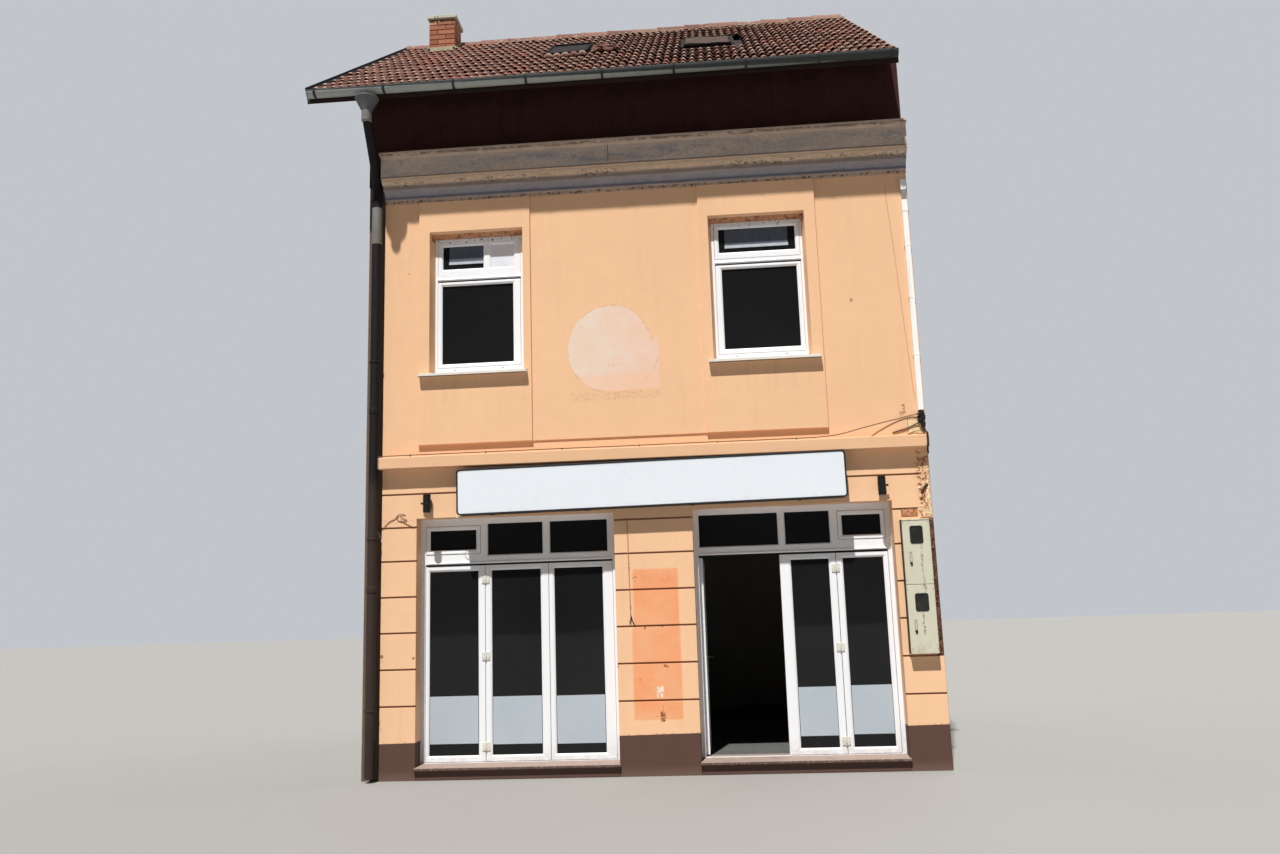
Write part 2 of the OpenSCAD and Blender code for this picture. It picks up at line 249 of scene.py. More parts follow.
def simple(name, col, rough=0.5, spec=0.4, metal=0.0, var=0.06, scale=4.0, fine=90.0, bump=0.0006, dirt=None, dirt_amt=0.25, coat=0.0, streak=False):
    """a plain coated or moulded surface with uneven tone, fine relief and grime"""
    M = Mat(name, rough, spec, metal, coat)
    big = M.noise(scale, 5, 0.6)
    c = M.vary(col, big, 1 - var, 1 + var)
    if dirt is not None:
        v = M.vec(14, 14, 0.9) if streak else M.pos
        g = M.smooth(M.noise(1.0 if streak else scale * 2.3, 6, 0.65, v), 0.5, 0.78)
        c = M.mix(M.mul(g, dirt_amt), c, dirt)
    r = rrange(M, M.noise(scale * 3, 4, 0.6), max(0.03, rough - 0.08), min(1.0, rough + 0.1))
    nrm = M.bump(M.noise(fine, 3, 0.5), bump, 0.6)
    return M.done(c, r, nrm)


PLASTER = C(188, 184, 178)
PARTY = C(150, 140, 126)


def render_paint(name, base, kind):
    """painted render: ground floor front, upper front or rear"""
    M = Mat(name, 0.86, 0.22)
    n_big, n_mid, n_fine = M.noise(0.55, 5, 0.6), M.noise(5.5, 6, 0.62), M.noise(70, 3, 0.6)
    c = M.vary(base, n_big, 0.955, 1.03)
    c = M.vary(c, n_mid, 0.975, 1.02)
    c = M.vary(c, n_fine, 0.985, 1.012)
    streak = M.noise(1.0, 5, 0.6, M.vec(7.0, 7.0, 0.45))
    c = M.mix(M.mul(M.smooth(streak, 0.52, 0.78), 0.10), c, C(190, 146, 112))
    wob = M.mul(M.add(M.noise(9, 5, 0.7), -0.5), 0.03)
    wob2 = M.mul(M.add(M.noise(30, 5, 0.7), -0.5), 0.02)
    h = M.add(M.mul(n_mid, 0.5), M.mul(M.noise(1.7, 3, 0.5), 1.6))
    grain = M.noise(210, 4, 0.7)
    if kind == "ground":
        # deeper paint where a board hung on the middle pier, in two widths
        m1 = M.rect(2.775, 3.260, 1.50, 2.140, 0.012, M.mul(wob2, 0.7))
        m2 = M.rect(2.752, 3.266, 0.567, 1.51, 0.012, M.mul(wob2, 0.7))
        board = M.op("MAXIMUM", m1, m2)
        tone = M.mix(M.smooth(M.noise(2.3, 5, 0.65), 0.38, 0.62), C(240, 160, 112), C(238, 172, 128))
        c = M.mix(M.mul(board, 0.96), c, M.vary(tone, n_mid, 0.965, 1.03))
        sc = M.mul(M.rect(2.78, 3.25, 1.965, 2.10, 0.02, wob), M.smooth(M.noise(15, 6, 0.8, M.vec(1, 1, 1.6), 0.2), 0.46, 0.64))
        c = M.mix(M.mul(sc, 0.34), c, C(190, 134, 112))
        sm = M.mul(M.rect(2.84, 3.20, 0.80, 1.00, 0.03, wob), M.smooth(M.noise(7, 6, 0.75, M.vec(1, 1, 3.5)), 0.56, 0.66))
        c = M.mix(M.mul(sm, 0.35), c, C(196, 132, 104))
        chip = M.mul(M.rect(3.000, 3.072, 0.795, 0.910, 0.006, M.mul(wob, 0.9)), M.smooth(M.noise(27, 4, 0.7), 0.42, 0.50))
        c = M.mix(chip, c, C(236, 228, 216))
        hole = M.mul(M.rect(3.030, 3.078, 0.545, 0.650, 0.007, M.mul(wob, 0.9)), M.smooth(M.noise(40, 4, 0.75), 0.42, 0.50))
        c = M.mix(M.mul(hole, 0.92), c, M.mix(M.smooth(M.noise(60, 3, 0.7), 0.42, 0.56), C(84, 44, 26), C(158, 96, 60)))
        run = M.op("MAXIMUM", M.rect(3.0535, 3.0575, 0.64, 0.715, 0.0015, M.mul(wob2, 0.15)), M.rect(2.986, 2.996, 0.597, 0.607, 0.003))
        c = M.mix(M.mul(run, 0.75), c, C(128, 74, 46))
        for px, pz, pr in ((2.891, 1.524, 0.010), (2.885, 1.508, 0.007), (3.076, 1.529, 0.010), (3.092, 1.118, 0.014), (3.118, 1.108, 0.009), (2.822, 0.982, 0.006), (0.018, 1.296, 0.018), (0.370, 1.27, 0.012), (2.80, 2.06, 0.007), (2.776, 2.052, 0.006), (2.59, 1.12, 0.010)):
            c = M.mix(M.mul(M.rect(px - pr, px + pr, pz - pr, pz + pr, 0.005, wob2), 0.8), c, C(126, 80, 54))
        # torn spots down the left arris of the left pier
        edge = M.mul(M.inv(M.smooth(M.x, 0.010, 0.040)), M.mul(M.smooth(M.noise(16, 6, 0.78), 0.57, 0.62), M.band(M.z, 0.5, 3.2, 0.1)))
        c = M.mix(M.mul(edge, 0.75), c, C(150, 104, 74))
        # a smudge behind the cable scrap on the left pier
        d = M.op("ABSOLUTE", M.add(M.z, M.add(-2.745, M.mul(M.add(M.noise(5.5, 2, 0.5), -0.5), 0.30))))
        scr = M.mul(M.inv(M.smooth(d, 0.004, 0.012)), M.rect(0.02, 0.36, 2.66, 2.80, 0.02))
        c = M.mix(M.mul(scr, 0.25), c, C(168, 122, 92))
        # crumbling render at the right edge, above and beside the meter cabinet
        rag = M.noise(22, 7, 0.78)
        zone = M.smooth(M.add(M.x, M.add(M.mul(M.add(M.noise(5, 5, 0.7), -0.5), 0.16), M.mul(M.inv(M.smooth(M.z, 2.6, 3.2)), -0.03))), 5.82, 5.90)
        zone = M.mul(zone, M.band(M.z, 2.56, 3.32, 0.03))
        c = M.mix(M.mul(M.mul(zone, M.smooth(rag, 0.53, 0.58)), 0.9), c, C(132, 84, 56))
        c = M.mix(M.mul(M.mul(zone, M.smooth(M.noise(31, 6, 0.75), 0.585, 0.62)), 0.95), c, C(238, 222, 188))
        h = M.add(h, M.mul(M.mul(zone, M.smooth(rag, 0.50, 0.60)), -7.0))
        # painted shade: the deep gap beside the cabinet coloured dark, with only a shallow dent
        painted_void_shade = M.mul(M.rect(5.930, 6.10, 1.15, 2.575, 0.010, wob2), M.smooth(rag, 0.30, 0.40))
        raw = M.mix(M.smooth(M.noise(30, 6, 0.75), 0.44, 0.62), C(42, 31, 27), C(116, 76, 60))
        c = M.mix(M.mul(painted_void_shade, 0.95), c, raw)
        h = M.add(h, M.mul(painted_void_shade, M.mul(M.noise(60, 5, 0.75), -8.0)))
        # the joints of the banded render coloured darker inside
        gr = None
        for g in GROOVES:
            b_ = M.band(M.z, g - 0.0105, g + 0.0105, 0.003)
            gr = b_ if gr is None else M.op("MAXIMUM", gr, b_)
        gr = M.mul(gr, M.mul(M.smooth(M.y, 0.0015, 0.006), M.inv(M.smooth(M.y, 0.020, 0.028))))
        c = M.mix(M.mul(gr, 0.82), c, C(128, 84, 60))
        # plinth painted dark brown, rising a little to the right, dusty at the foot
        top = M.add(M.add(M.mul(M.x, 0.0121), 0.384), M.mul(wob2, 0.35))
        pl = M.inv(M.smooth(M.op("SUBTRACT", M.z, top), -0.004, 0.004))
        pcol = M.vary(M.vary(C(92, 68, 60), n_mid, 0.92, 1.08), n_fine, 0.95, 1.05)
        pcol = M.mix(M.mul(M.inv(M.smooth(M.add(M.z, wob), 0.0, 0.12)), 0.30), pcol, C(136, 118, 106))
        pcol = M.mix(M.mul(M.smooth(M.noise(26, 6, 0.75), 0.66, 0.71), 0.4), pcol, C(140, 120, 106))
        c = M.mix(pl, c, pcol)
        fleck = M.mul(M.band(M.op("SUBTRACT", M.z, top), 0.0, 0.012, 0.004), M.smooth(M.noise(30, 5, 0.75), 0.52, 0.58))
        c = M.mix(M.mul(fleck, 0.7), c, C(186, 120, 92))
        h = M.add(h, M.mul(pl, 1.0))
    if kind == "upper":
        # pale disc where a round sign hung, cut off flat at its right and foot
        dx = M.op("DIVIDE", M.add(M.x, -2.632), 0.512)
        dz = M.op("DIVIDE", M.add(M.z, -4.600), 0.505)
        rad = M.op("SQRT", M.add(M.mul(dx, dx), M.mul(dz, dz)))
        rad = M.add(rad, M.mul(M.add(M.noise(7, 6, 0.7), -0.5), 0.07))
        rad = M.add(rad, M.mul(M.mul(M.smooth(M.x, 2.78, 3.02), M.smooth(M.z, 4.62, 4.70)), 0.13))
        disc = M.mul(M.inv(M.smooth(rad, 0.985, 1.01)), M.inv(M.smooth(M.add(M.x, M.mul(wob2, 0.4)), 3.142, 3.148)))
        disc = M.op("MAXIMUM", disc, M.rect(2.72, 3.142, 4.135, 4.700, 0.008, M.mul(wob2, 0.3)))
        disc = M.mul(disc, M.smooth(M.add(M.z, M.mul(wob, 0.4)), 4.112, 4.124))
        wear = M.smooth(M.noise(3.2, 6, 0.7), 0.30, 0.62)
        dc = M.mix(M.smooth(M.x, 2.40, 2.95), M.mix(wear, C(228, 213, 200), C(230, 204, 184)), M.mix(wear, C(232, 205, 190), C(232, 196, 174)))
        dc = M.mix(M.mul(M.smooth(M.noise(13, 6, 0.72), 0.62, 0.68), 0.6), dc, C(206, 166, 142))
        low_right = M.inv(M.smooth(M.add(M.z, M.mul(wob, 0.8)), 4.26, 4.36))
        dc = M.mix(M.mul(low_right, 0.62), dc, C(238, 192, 164))
        c = M.mix(M.mul(disc, 0.94), c, dc)
        rim = M.mul(M.band(rad, 0.975, 1.03, 0.012), M.mul(M.smooth(M.noise(11, 5, 0.7), 0.50, 0.58), M.inv(M.smooth(M.x, 3.13, 3.15))))
        c = M.mix(M.mul(rim, 0.35), c, C(200, 156, 124))
        # rubbed strip under it, speckled without order
        strip = M.mul(M.rect(2.14, 3.14, 4.015, 4.108, 0.014, wob), M.smooth(M.noise(52, 6, 0.82, M.vec(1, 1, 1), 0.3), 0.50, 0.60))
        c = M.mix(M.mul(strip, 0.62), c, C(180, 144, 108))
        # dust over the string course and dirt washed down below the sills
        foot = M.mul(M.inv(M.smooth(M.add(M.z, wob), 3.47, 3.58)), 0.15)
        c = M.mix(foot, c, C(186, 142, 110))
        for x0, x1 in ((0.43, 1.66), (3.70, 4.92)):
            sl = M.mul(M.rect(x0, x1, 4.05, 4.38, 0.03), M.smooth(M.noise(1.0, 4, 0.6, M.vec(16, 16, 0.7)), 0.50, 0.72))
            c = M.mix(M.mul(sl, 0.08), c, C(170, 124, 94))
        # hairline down the right side
        ln = M.op("ABSOLUTE", M.add(M.x, M.add(M.mul(M.z, 0.0605), M.add(-6.139, M.mul(M.add(M.noise(1.2, 3, 0.6), -0.5), 0.02)))))
        c = M.mix(M.mul(M.mul(M.inv(M.smooth(ln, 0.003, 0.008)), M.band(M.z, 3.85, 6.3, 0.05)), 0.42), c, C(160, 112, 82))
        # rust marks near the right window and on the panel's left edge
        for px, pz, pr in ((5.30, 5.02, 0.016), (0.286, 5.62, 0.007), (0.282, 5.52, 0.006), (5.774, 3.79, 0.016), (5.752, 3.712, 0.020), (5.785, 3.74, 0.011)):
            sp = M.mul(M.rect(px - pr, px + pr, pz - 1.7 * pr, pz + 1.7 * pr, 0.006, wob), M.smooth(M.noise(34, 5, 0.75), 0.44, 0.54))
            c = M.mix(M.mul(sp, 0.85), c, C(142, 96, 68))
        crk = M.op("ABSOLUTE", M.add(M.z, M.add(-5.28, M.add(M.mul(M.x, -0.19), M.mul(M.add(M.noise(3.0, 4, 0.7), -0.5), 0.5)))))
        c = M.mix(M.mul(M.mul(M.inv(M.smooth(crk, 0.0015, 0.004)), M.band(M.x, 1.85, 3.1, 0.1)), 0.18), c, C(160, 114, 84))
        # painted shade in the heads of the window openings, with spots of soot and flaking
        head_shade_and_soot = M.mul(M.smooth(M.y, 0.010, 0.030), M.mul(M.smooth(M.z, 5.99, 6.01), M.inv(M.smooth(M.z, 6.08, 6.10))))
        c = M.mix(M.mul(head_shade_and_soot, 0.75), c, C(176, 116, 80))
        c = M.mix(M.mul(M.mul(head_shade_and_soot, M.smooth(M.noise(18, 6, 0.75), 0.50, 0.58)), 0.7), c, C(96, 64, 48))
    if kind == "rear":
        stain = M.mul(M.smooth(M.noise(1.0, 6, 0.65, M.vec(2.2, 2.2, 0.5)), 0.50, 0.72), 0.35)
        c = M.mix(stain, c, C(176, 146, 116))
        patch = M.mul(M.rect(1.9, 2.9, 0.5, 1.45, 0.02, wob), 0.75)
        c = M.mix(patch, c, C(172, 162, 148))
        pl = M.inv(M.smooth(M.add(M.z, M.mul(wob2, 0.4)), 0.416, 0.424))
        c = M.mix(pl, c, M.vary(C(98, 74, 66), n_mid, 0.88, 1.12))
        up = M.mul(M.smooth(M.z, 7.1, 7.7), M.smooth(M.noise(1.0, 5, 0.6, M.vec(6, 6, 0.6)), 0.40, 0.7))
        c = M.mix(M.mul(up, 0.45), c, C(120, 94, 76))
    # bare side faces against the neighbours, plain plaster indoors
    side = M.op("MAXIMUM", M.inv(M.smooth(M.x, -0.199, -0.192)), M.smooth(M.x, 5.9955, 5.9985))
    scol = M.vary(M.vary(PARTY, n_mid, 0.9, 1.08), n_big, 0.9, 1.08)
    c = M.mix(side, c, scol)
    if kind != "rear":
        # painted shade: the set-back strip behind the downpipe coloured dark as the shaded gap between the houses
        wing = M.mul(M.inv(M.smooth(M.x, -0.006, 0.0)), M.inv(side))
        c = M.mix(wing, c, M.vary(C(104, 88, 76), n_mid, 0.85, 1.1))
        inn = M.smooth(M.y, 0.30, 0.32)
    else:
        inn = M.inv(M.smooth(M.y, 5.98, 6.00))
    c = M.mix(M.mul(inn, M.inv(side)), c, M.vary(PLASTER, n_mid, 0.94, 1.03))
    nrm = M.bump(h, 0.004, 0.55)
    nrm = M.bump(grain, 0.0016, 0.5, nrm)
    return M.done(c, rrange(M, n_mid, 0.78, 0.93), nrm)


def pipe_material():
    """dark sheet pipe, browner and duller over the lower storey"""
    M = Mat("pipe_paint", 0.7, 0.2)
    mid = M.noise(3, 5, 0.6)
    c = M.mix(M.inv(M.smooth(M.add(M.z, M.mul(mid, 0.2)), 3.15, 3.40)), C(25, 22, 25), C(56, 45, 41))
    c = M.vary(c, mid, 0.84, 1.16)
    c = M.mix(M.mul(M.smooth(M.noise(1.0, 6, 0.65, M.vec(14, 14, 0.9)), 0.50, 0.78), 0.30), c, C(74, 62, 55))
    return M.done(c, rrange(M, mid, 0.62, 0.80), M.bump(M.noise(80, 3, 0.5), 0.0008, 0.6))


def party_material():
    M = Mat("party_render", 0.92, 0.2)
    big, mid, fine = M.noise(0.45, 6, 0.65), M.noise(3.4, 7, 0.68), M.noise(60, 4, 0.6)
    c = M.vary(M.vary(M.vary(PARTY, big, 0.84, 1.12), mid, 0.93, 1.06), fine, 0.96, 1.04)
    c = M.mix(M.mul(M.smooth(M.noise(1.0, 6, 0.65, M.vec(5, 2.6, 0.35)), 0.50, 0.72), 0.38), c, C(96, 88, 78))
    c = M.mix(M.mul(M.smooth(M.noise(0.9, 5, 0.6), 0.60, 0.64), 0.5), c, C(178, 168, 150))
    rough = M.smooth(M.noise(0.7, 6, 0.72), 0.655, 0.675)
    br = M.node("ShaderNodeTexBrick")
    sw = M.node("ShaderNodeCombineXYZ")
    M.t.links.new(M.y, sw.inputs[0])
    M.t.links.new(M.z, sw.inputs[1])
    M.t.links.new(sw.outputs[0], br.inputs["Vector"])
    br.inputs["Scale"].default_value = 1.0
    br.inputs["Brick Width"].default_value = 0.26
    br.inputs["Row Height"].default_value = 0.077
    br.inputs["Mortar Size"].default_value = 0.006
    br.inputs["Color1"].default_value = C(158, 92, 66)
    br.inputs["Color2"].default_value = C(136, 76, 56)
    br.inputs["Mortar"].default_value = C(168, 160, 146)
    c = M.mix(rough, c, br.outputs["Color"])
    foot = M.inv(M.smooth(M.add(M.z, M.mul(big, 0.5)), 0.3, 0.9))
    c = M.mix(M.mul(foot, 0.4), c, C(104, 94, 82))
    inn = M.mul(M.smooth(M.x, 0.140, 0.148), M.inv(M.smooth(M.x, 5.652, 5.66)))
    c = M.mix(inn, c, M.vary(PLASTER, mid, 0.94, 1.03))
    h = M.add(M.mul(mid, 1.2), M.mul(rough, M.add(-2.2, M.mul(br.outputs["Fac"], -0.8))))
    nrm = M.bump(h, 0.006, 0.7)
    nrm = M.bump(M.noise(120, 5, 0.7), 0.003, 0.6, nrm)
    return M.done(c, 0.93, nrm)


def attic_material():
    M = Mat("knee_wall_dark", 0.88, 0.15)
    mid = M.noise(4.0, 6, 0.65)
    c = M.vary(C(64, 37, 33), mid, 0.78, 1.22)
    c = M.mix(M.mul(M.smooth(M.noise(1.0, 5, 0.6, M.vec(6, 6, 0.7)), 0.48, 0.75), 0.45), c, C(38, 24, 24))
    c = M.mix(M.mul(M.smooth(M.noise(1.6, 6, 0.7), 0.62, 0.70), 0.35), c, C(84, 52, 44))
    seams = M.op("ABSOLUTE", M.add(M.op("FRACT", M.mul(M.x, 0.7692)), -0.5))
    line = M.inv(M.smooth(seams, 0.0, 0.0035))
    c = M.mix(M.mul(line, 0.5), c, C(28, 16, 15))
    inn = M.smooth(M.y, 0.30, 0.32)
    c = M.mix(inn, c, M.vary(PLASTER, mid, 0.85, 1.0))
    side = M.op("MAXIMUM", M.inv(M.smooth(M.x, -0.199, -0.192)), M.smooth(M.x, 5.9955, 5.9985))
    c = M.mix(side, c, M.vary(PARTY, mid, 0.9, 1.08))
    nrm = M.bump(M.add(M.mul(mid, 1.0), M.mul(line, -1.2)), 0.004, 0.5)
    nrm = M.bump(M.noise(160, 4, 0.7), 0.002, 0.5, nrm)
    return M.done(c, 0.9, nrm)


def cornice_material():
    """old paint in bands that follow the mouldings, with lines of dirt along their edges, painted shade tinted by the
    sky in the cove, and painted shadow lines at the fascia's foot and under the top slab
    """
    M = Mat("cornice_paint", 0.85, 0.2)
    mid, fine = M.noise(6, 7, 0.68), M.noise(60, 4, 0.65)
    long = M.noise(1.0, 6, 0.7, M.vec(1.3, 1.3, 9))
    wz = M.add(M.z, M.mul(M.add(M.noise(2.4, 5, 0.7), -0.5), 0.012))

    def lay(c, z0, z1, col, amt=1.0, soft=0.005):
        return M.mix(M.mul(M.band(wz, z0, z1, soft), amt), c, col)

    c = M.mix(M.smooth(long, 0.36, 0.64), C(204, 184, 170), C(188, 175, 167))
    c = lay(c, 6.440, 6.503, C(190, 166, 150), 0.9)
    # painted shade: the downward-facing cove coloured bluish-grey, with a darker blue line, as shade lit by the sky
    c = lay(c, 6.503, 6.602, C(152, 148, 154), 0.95, 0.008)
    c = lay(c, 6.508, 6.536, C(88, 92, 116), 0.72, 0.012)
    c = lay(c, 6.602, 6.645, C(150, 138, 130), 0.85)
    c = lay(c, 6.645, 6.712, C(206, 182, 158), 0.85)
    # painted shadow line along the foot of the fascia
    c = lay(c, 6.706, 6.722, C(112, 100, 104), 0.75, 0.005)
    dots = M.smooth(M.noise(26, 6, 0.78), 0.52, 0.57)
    patchy = M.smooth(M.noise(1.6, 4, 0.6), 0.40, 0.62)
    c = M.mix(M.mul(M.mul(dots, M.band(wz, 6.462, 6.492, 0.006)), 0.85), c, C(78, 52, 42))
    c = M.mix(M.mul(M.mul(dots, M.mul(patchy, M.band(wz, 6.632, 6.668, 0.010))), 0.92), c, C(60, 48, 42))
    c = M.mix(M.mul(M.mul(M.smooth(M.noise(17, 6, 0.78), 0.60, 0.64), M.band(wz, 6.70, 6.93, 0.02)), 0.5), c, C(104, 98, 98))
    blue = M.mul(M.smooth(M.noise(1.0, 5, 0.7, M.vec(1.1, 1.1, 5)), 0.52, 0.62), M.band(wz, 6.74, 6.90, 0.03))
    c = M.mix(M.mul(blue, 0.6), c, C(140, 146, 158))
    warm = M.mul(M.smooth(M.noise(0.9, 5, 0.7, M.vec(1, 1, 7)), 0.54, 0.62), M.band(wz, 6.72, 6.80, 0.02))
    c = M.mix(M.mul(warm, 0.5), c, C(200, 168, 138))
    seam = M.mul(M.rect(2.648, 2.656, 6.73, 6.94, 0.003, M.mul(wz, 0.0)), 0.75)
    c = M.mix(seam, c, C(80, 66, 58))
    lip = M.smooth(M.z, 6.934, 6.942)
    c = M.mix(M.mul(lip, 0.85), c, M.vary(C(196, 176, 160), mid, 0.85, 1.08))
    # painted shade under the top slab's overhang, broken into spots
    under = M.mul(M.band(M.z, 6.955, 6.964, 0.002), M.smooth(M.noise(9, 5, 0.7), 0.40, 0.55))
    c = M.mix(M.mul(under, 0.7), c, C(80, 54, 44))
    c = M.vary(M.vary(c, mid, 0.90, 1.09), fine, 0.95, 1.05)
    nrm = M.bump(M.add(mid, M.mul(dots, -1.0)), 0.005, 0.6)
    nrm = M.bump(M.noise(140, 5, 0.7), 0.002, 0.55, nrm)
    return M.done(c, 0.86, nrm)


def tile_material(name="clay_tile", ridge=False):
    M = Mat(name, 0.85, 0.2)
    r, g, b = M.attr("tint")[:3]
    mid, fine = M.noise(9, 6, 0.7), M.noise(55, 5, 0.7)
    if ridge:
        base = M.mix(M.smooth(r, 0.0, 1.0), C(120, 84, 74), C(146, 110, 98))
        base = M.mix(M.mul(M.smooth(g, 0.70, 0.95), 0.7), base, C(164, 134, 120))
        c = M.vary(M.vary(base, mid, 0.84, 1.10), fine, 0.92, 1.08)
        c = M.mix(M.mul(M.smooth(M.noise(11, 6, 0.75), 0.56, 0.62), 0.75), c, C(180, 166, 144))
        c = M.mix(M.mul(M.smooth(M.noise(23, 6, 0.75), 0.62, 0.68), 0.5), c, C(92, 66, 56))
    else:
        base = M.mix(M.smooth(r, 0.0, 1.0), C(104, 70, 60), C(130, 92, 80))
        base = M.mix(M.mul(M.smooth(g, 0.82, 0.95), 0.6), base, C(152, 92, 72))
        base = M.mix(M.mul(M.inv(M.smooth(g, 0.04, 0.16)), 0.6), base, C(88, 62, 54))
        c = M.vary(M.vary(base, mid, 0.84, 1.12), fine, 0.90, 1.08)
        lich = M.mul(M.smooth(M.noise(1.1, 5, 0.65), 0.52, 0.66), M.smooth(M.noise(30, 6, 0.75), 0.50, 0.60))
        c = M.mix(M.mul(lich, 0.45), c, C(142, 124, 84))
        moss = M.mul(M.smooth(M.noise(2.3, 5, 0.7), 0.58, 0.70), M.smooth(M.noise(40, 5, 0.7), 0.52, 0.60))
        c = M.mix(M.mul(moss, 0.5), c, C(66, 54, 42))
        # painted highlight on the tile noses
        nose = M.mul(M.smooth(b, 0.62, 0.92), M.smooth(M.noise(30, 4, 0.7), 0.30, 0.50))
        c = M.mix(M.mul(nose, 0.80), c, M.mix(M.smooth(g, 0.2, 0.8), C(212, 176, 160), C(186, 138, 120)))
        # painted shade in the pans, under the noses and on the undersides, with darker weathering towards each tile's
        # head
        painted_pan_shade = M.inv(M.smooth(b, 0.06, 0.34))
        c = M.mix(M.mul(painted_pan_shade, 0.86), c, C(44, 28, 25))
    nrm = M.bump(M.add(mid, M.mul(fine, 0.6)), 0.004, 0.6)
    nrm = M.bump(M.noise(150, 4, 0.7), 0.0015, 0.6, nrm)
    return M.done(c, rrange(M, mid, 0.72, 0.95), nrm)


def brick_material():
    M = Mat("chimney_brick", 0.9, 0.2)
    r, g, b = M.attr("tint")[:3]
    base = M.mix(r, C(150, 92, 70), C(180, 120, 94))
    c = M.vary(M.vary(base, M.noise(14, 6, 0.7), 0.84, 1.10), M.noise(90, 4, 0.7), 0.93, 1.06)
    c = M.mix(M.mul(M.smooth(M.noise(25, 6, 0.7), 0.60, 0.68), 0.45), c, C(192, 142, 120))
    c = M.mix(M.mul(M.smooth(M.noise(18, 6, 0.75), 0.60, 0.66), 0.5), c, C(92, 56, 46))
    c = M.mix(M.mul(M.mul(M.smooth(M.z, 10.33, 10.44), M.smooth(M.noise(12, 5, 0.7), 0.42, 0.56)), 0.7), c, C(186, 166, 142))
    nrm = M.bump(M.noise(50, 6, 0.75), 0.004, 0.6)
    return M.done(c, 0.92, nrm)


def mortar_material(name="mortar", col=(196, 186, 166), moss=0.3):
    M = Mat(name, 0.93, 0.18)
    c = M.vary(M.vary(C(*col), M.noise(9, 6, 0.7), 0.82, 1.10), M.noise(80, 5, 0.7), 0.93, 1.07)
    c = M.mix(M.mul(M.smooth(M.noise(6, 6, 0.7), 0.52, 0.66), moss), c, C(112, 112, 82))
    c = M.mix(M.mul(M.smooth(M.noise(20, 6, 0.75), 0.58, 0.68), 0.4), c, C(88, 80, 70))
    nrm = M.bump(M.noise(40, 7, 0.75), 0.006, 0.7)
    return M.done(c, 0.94, nrm)


def crust_material():
    """broken render: tint red 0 is a dark hollow coloured as painted shade, 0.5 paint, 1 a pale chip"""
    M = Mat("crumbled_render", 0.93, 0.15)
    r, g, b = M.attr("tint")[:3]
    r = M.add(r, M.mul(M.add(M.noise(55, 5, 0.75), -0.5), 0.45))
    c = M.mix(M.smooth(r, 0.06, 0.22), C(70, 48, 38), C(150, 100, 70))
    c = M.mix(M.smooth(r, 0.30, 0.42), c, C(222, 172, 132))
    c = M.mix(M.smooth(r, 0.66, 0.80), c, C(236, 222, 190))
    c = M.mix(M.mul(g, M.smooth(M.noise(28, 5, 0.7), 0.36, 0.5)), c, M.mix(M.smooth(M.noise(60, 5, 0.75), 0.42, 0.58), C(172, 112, 84), C(214, 158, 122)))
    # the narrow strip beside the cabinet lies deep and is coloured nearly black as painted shade
    low = M.mul(M.inv(M.smooth(M.z, 2.54, 2.60)), M.smooth(M.x, 5.88, 5.93))
    c = M.mix(M.mul(low, 0.74), c, M.mix(M.smooth(M.noise(24, 5, 0.7), 0.46, 0.60), C(34, 25, 22), C(92, 58, 46)))
    nrm = M.bump(M.noise(70, 6, 0.75), 0.006, 0.8)
    return M.done(c, 0.94, nrm)


def gutter_material():
    """grey sheet, darker to the right, with painted shade over its upper part; the painted band widens to the right"""
    M = Mat("gutter_paint", 0.6, 0.35, 0.1)
    mid = M.noise(5, 6, 0.65)
    dim = M.smooth(M.x, 0.5, 5.5)
    c = M.mix(dim, C(162, 168, 166), C(108, 116, 115))
    c = M.vary(c, mid, 0.86, 1.10)
    c = M.mix(M.mul(M.smooth(M.noise(1.0, 5, 0.65, M.vec(14, 3, 1.2)), 0.54, 0.70), 0.35), c, C(98, 104, 100))
    # painted shade: the gutter front darkened above an edge that falls to the right
    wob = M.mul(M.add(M.noise(4, 5, 0.7), -0.5), 0.010)
    edge = M.add(7.574, M.mul(M.x, -0.0095))
    top = M.smooth(M.add(M.op("SUBTRACT", M.z, edge), wob), -0.004, 0.004)
    c = M.mix(M.mul(top, 0.94), c, M.vary(C(44, 50, 50), mid, 0.8, 1.2))
    c = M.mix(M.mul(M.smooth(M.noise(24, 6, 0.75), 0.64, 0.69), 0.45), c, C(120, 84, 58))
    nrm = M.bump(M.noise(45, 5, 0.6), 0.0012, 0.5)
    return M.done(c, rrange(M, mid, 0.5, 0.72), nrm)


def upvc_material():
    M = Mat("frame_white", 0.32, 0.45, coat=0.15, coat_rough=0.2)
    mid = M.noise(3.0, 5, 0.6)
    c = M.vary(C(242, 244, 248), mid, 0.975, 1.012)
    c = M.mix(M.mul(M.smooth(M.noise(1.0, 6, 0.7, M.vec(20, 20, 1.3)), 0.55, 0.78), 0.16), c, C(190, 186, 178))
    low = M.mul(M.inv(M.smooth(M.add(M.z, M.mul(mid, 0.1)), 0.16, 0.42)), M.smooth(M.noise(14, 6, 0.7), 0.36, 0.60))
    c = M.mix(M.mul(low, 0.30), c, C(164, 152, 138))
    c = M.mix(M.mul(M.smooth(M.noise(38, 6, 0.75), 0.66, 0.71), 0.3), c, C(170, 160, 148))
    head = M.mul(M.band(M.z, 5.985, 6.05, 0.01), M.smooth(M.noise(21, 5, 0.75), 0.57, 0.62))
    c = M.mix(M.mul(head, 0.90), c, C(82, 50, 40))
    nrm = M.bump(M.noise(9, 3, 0.5), 0.0012, 0.35)
    nrm = M.bump(M.noise(260, 2, 0.5), 0.0003, 0.4, nrm)
    return M.done(c, rrange(M, M.noise(12, 5, 0.65), 0.26, 0.46), nrm)


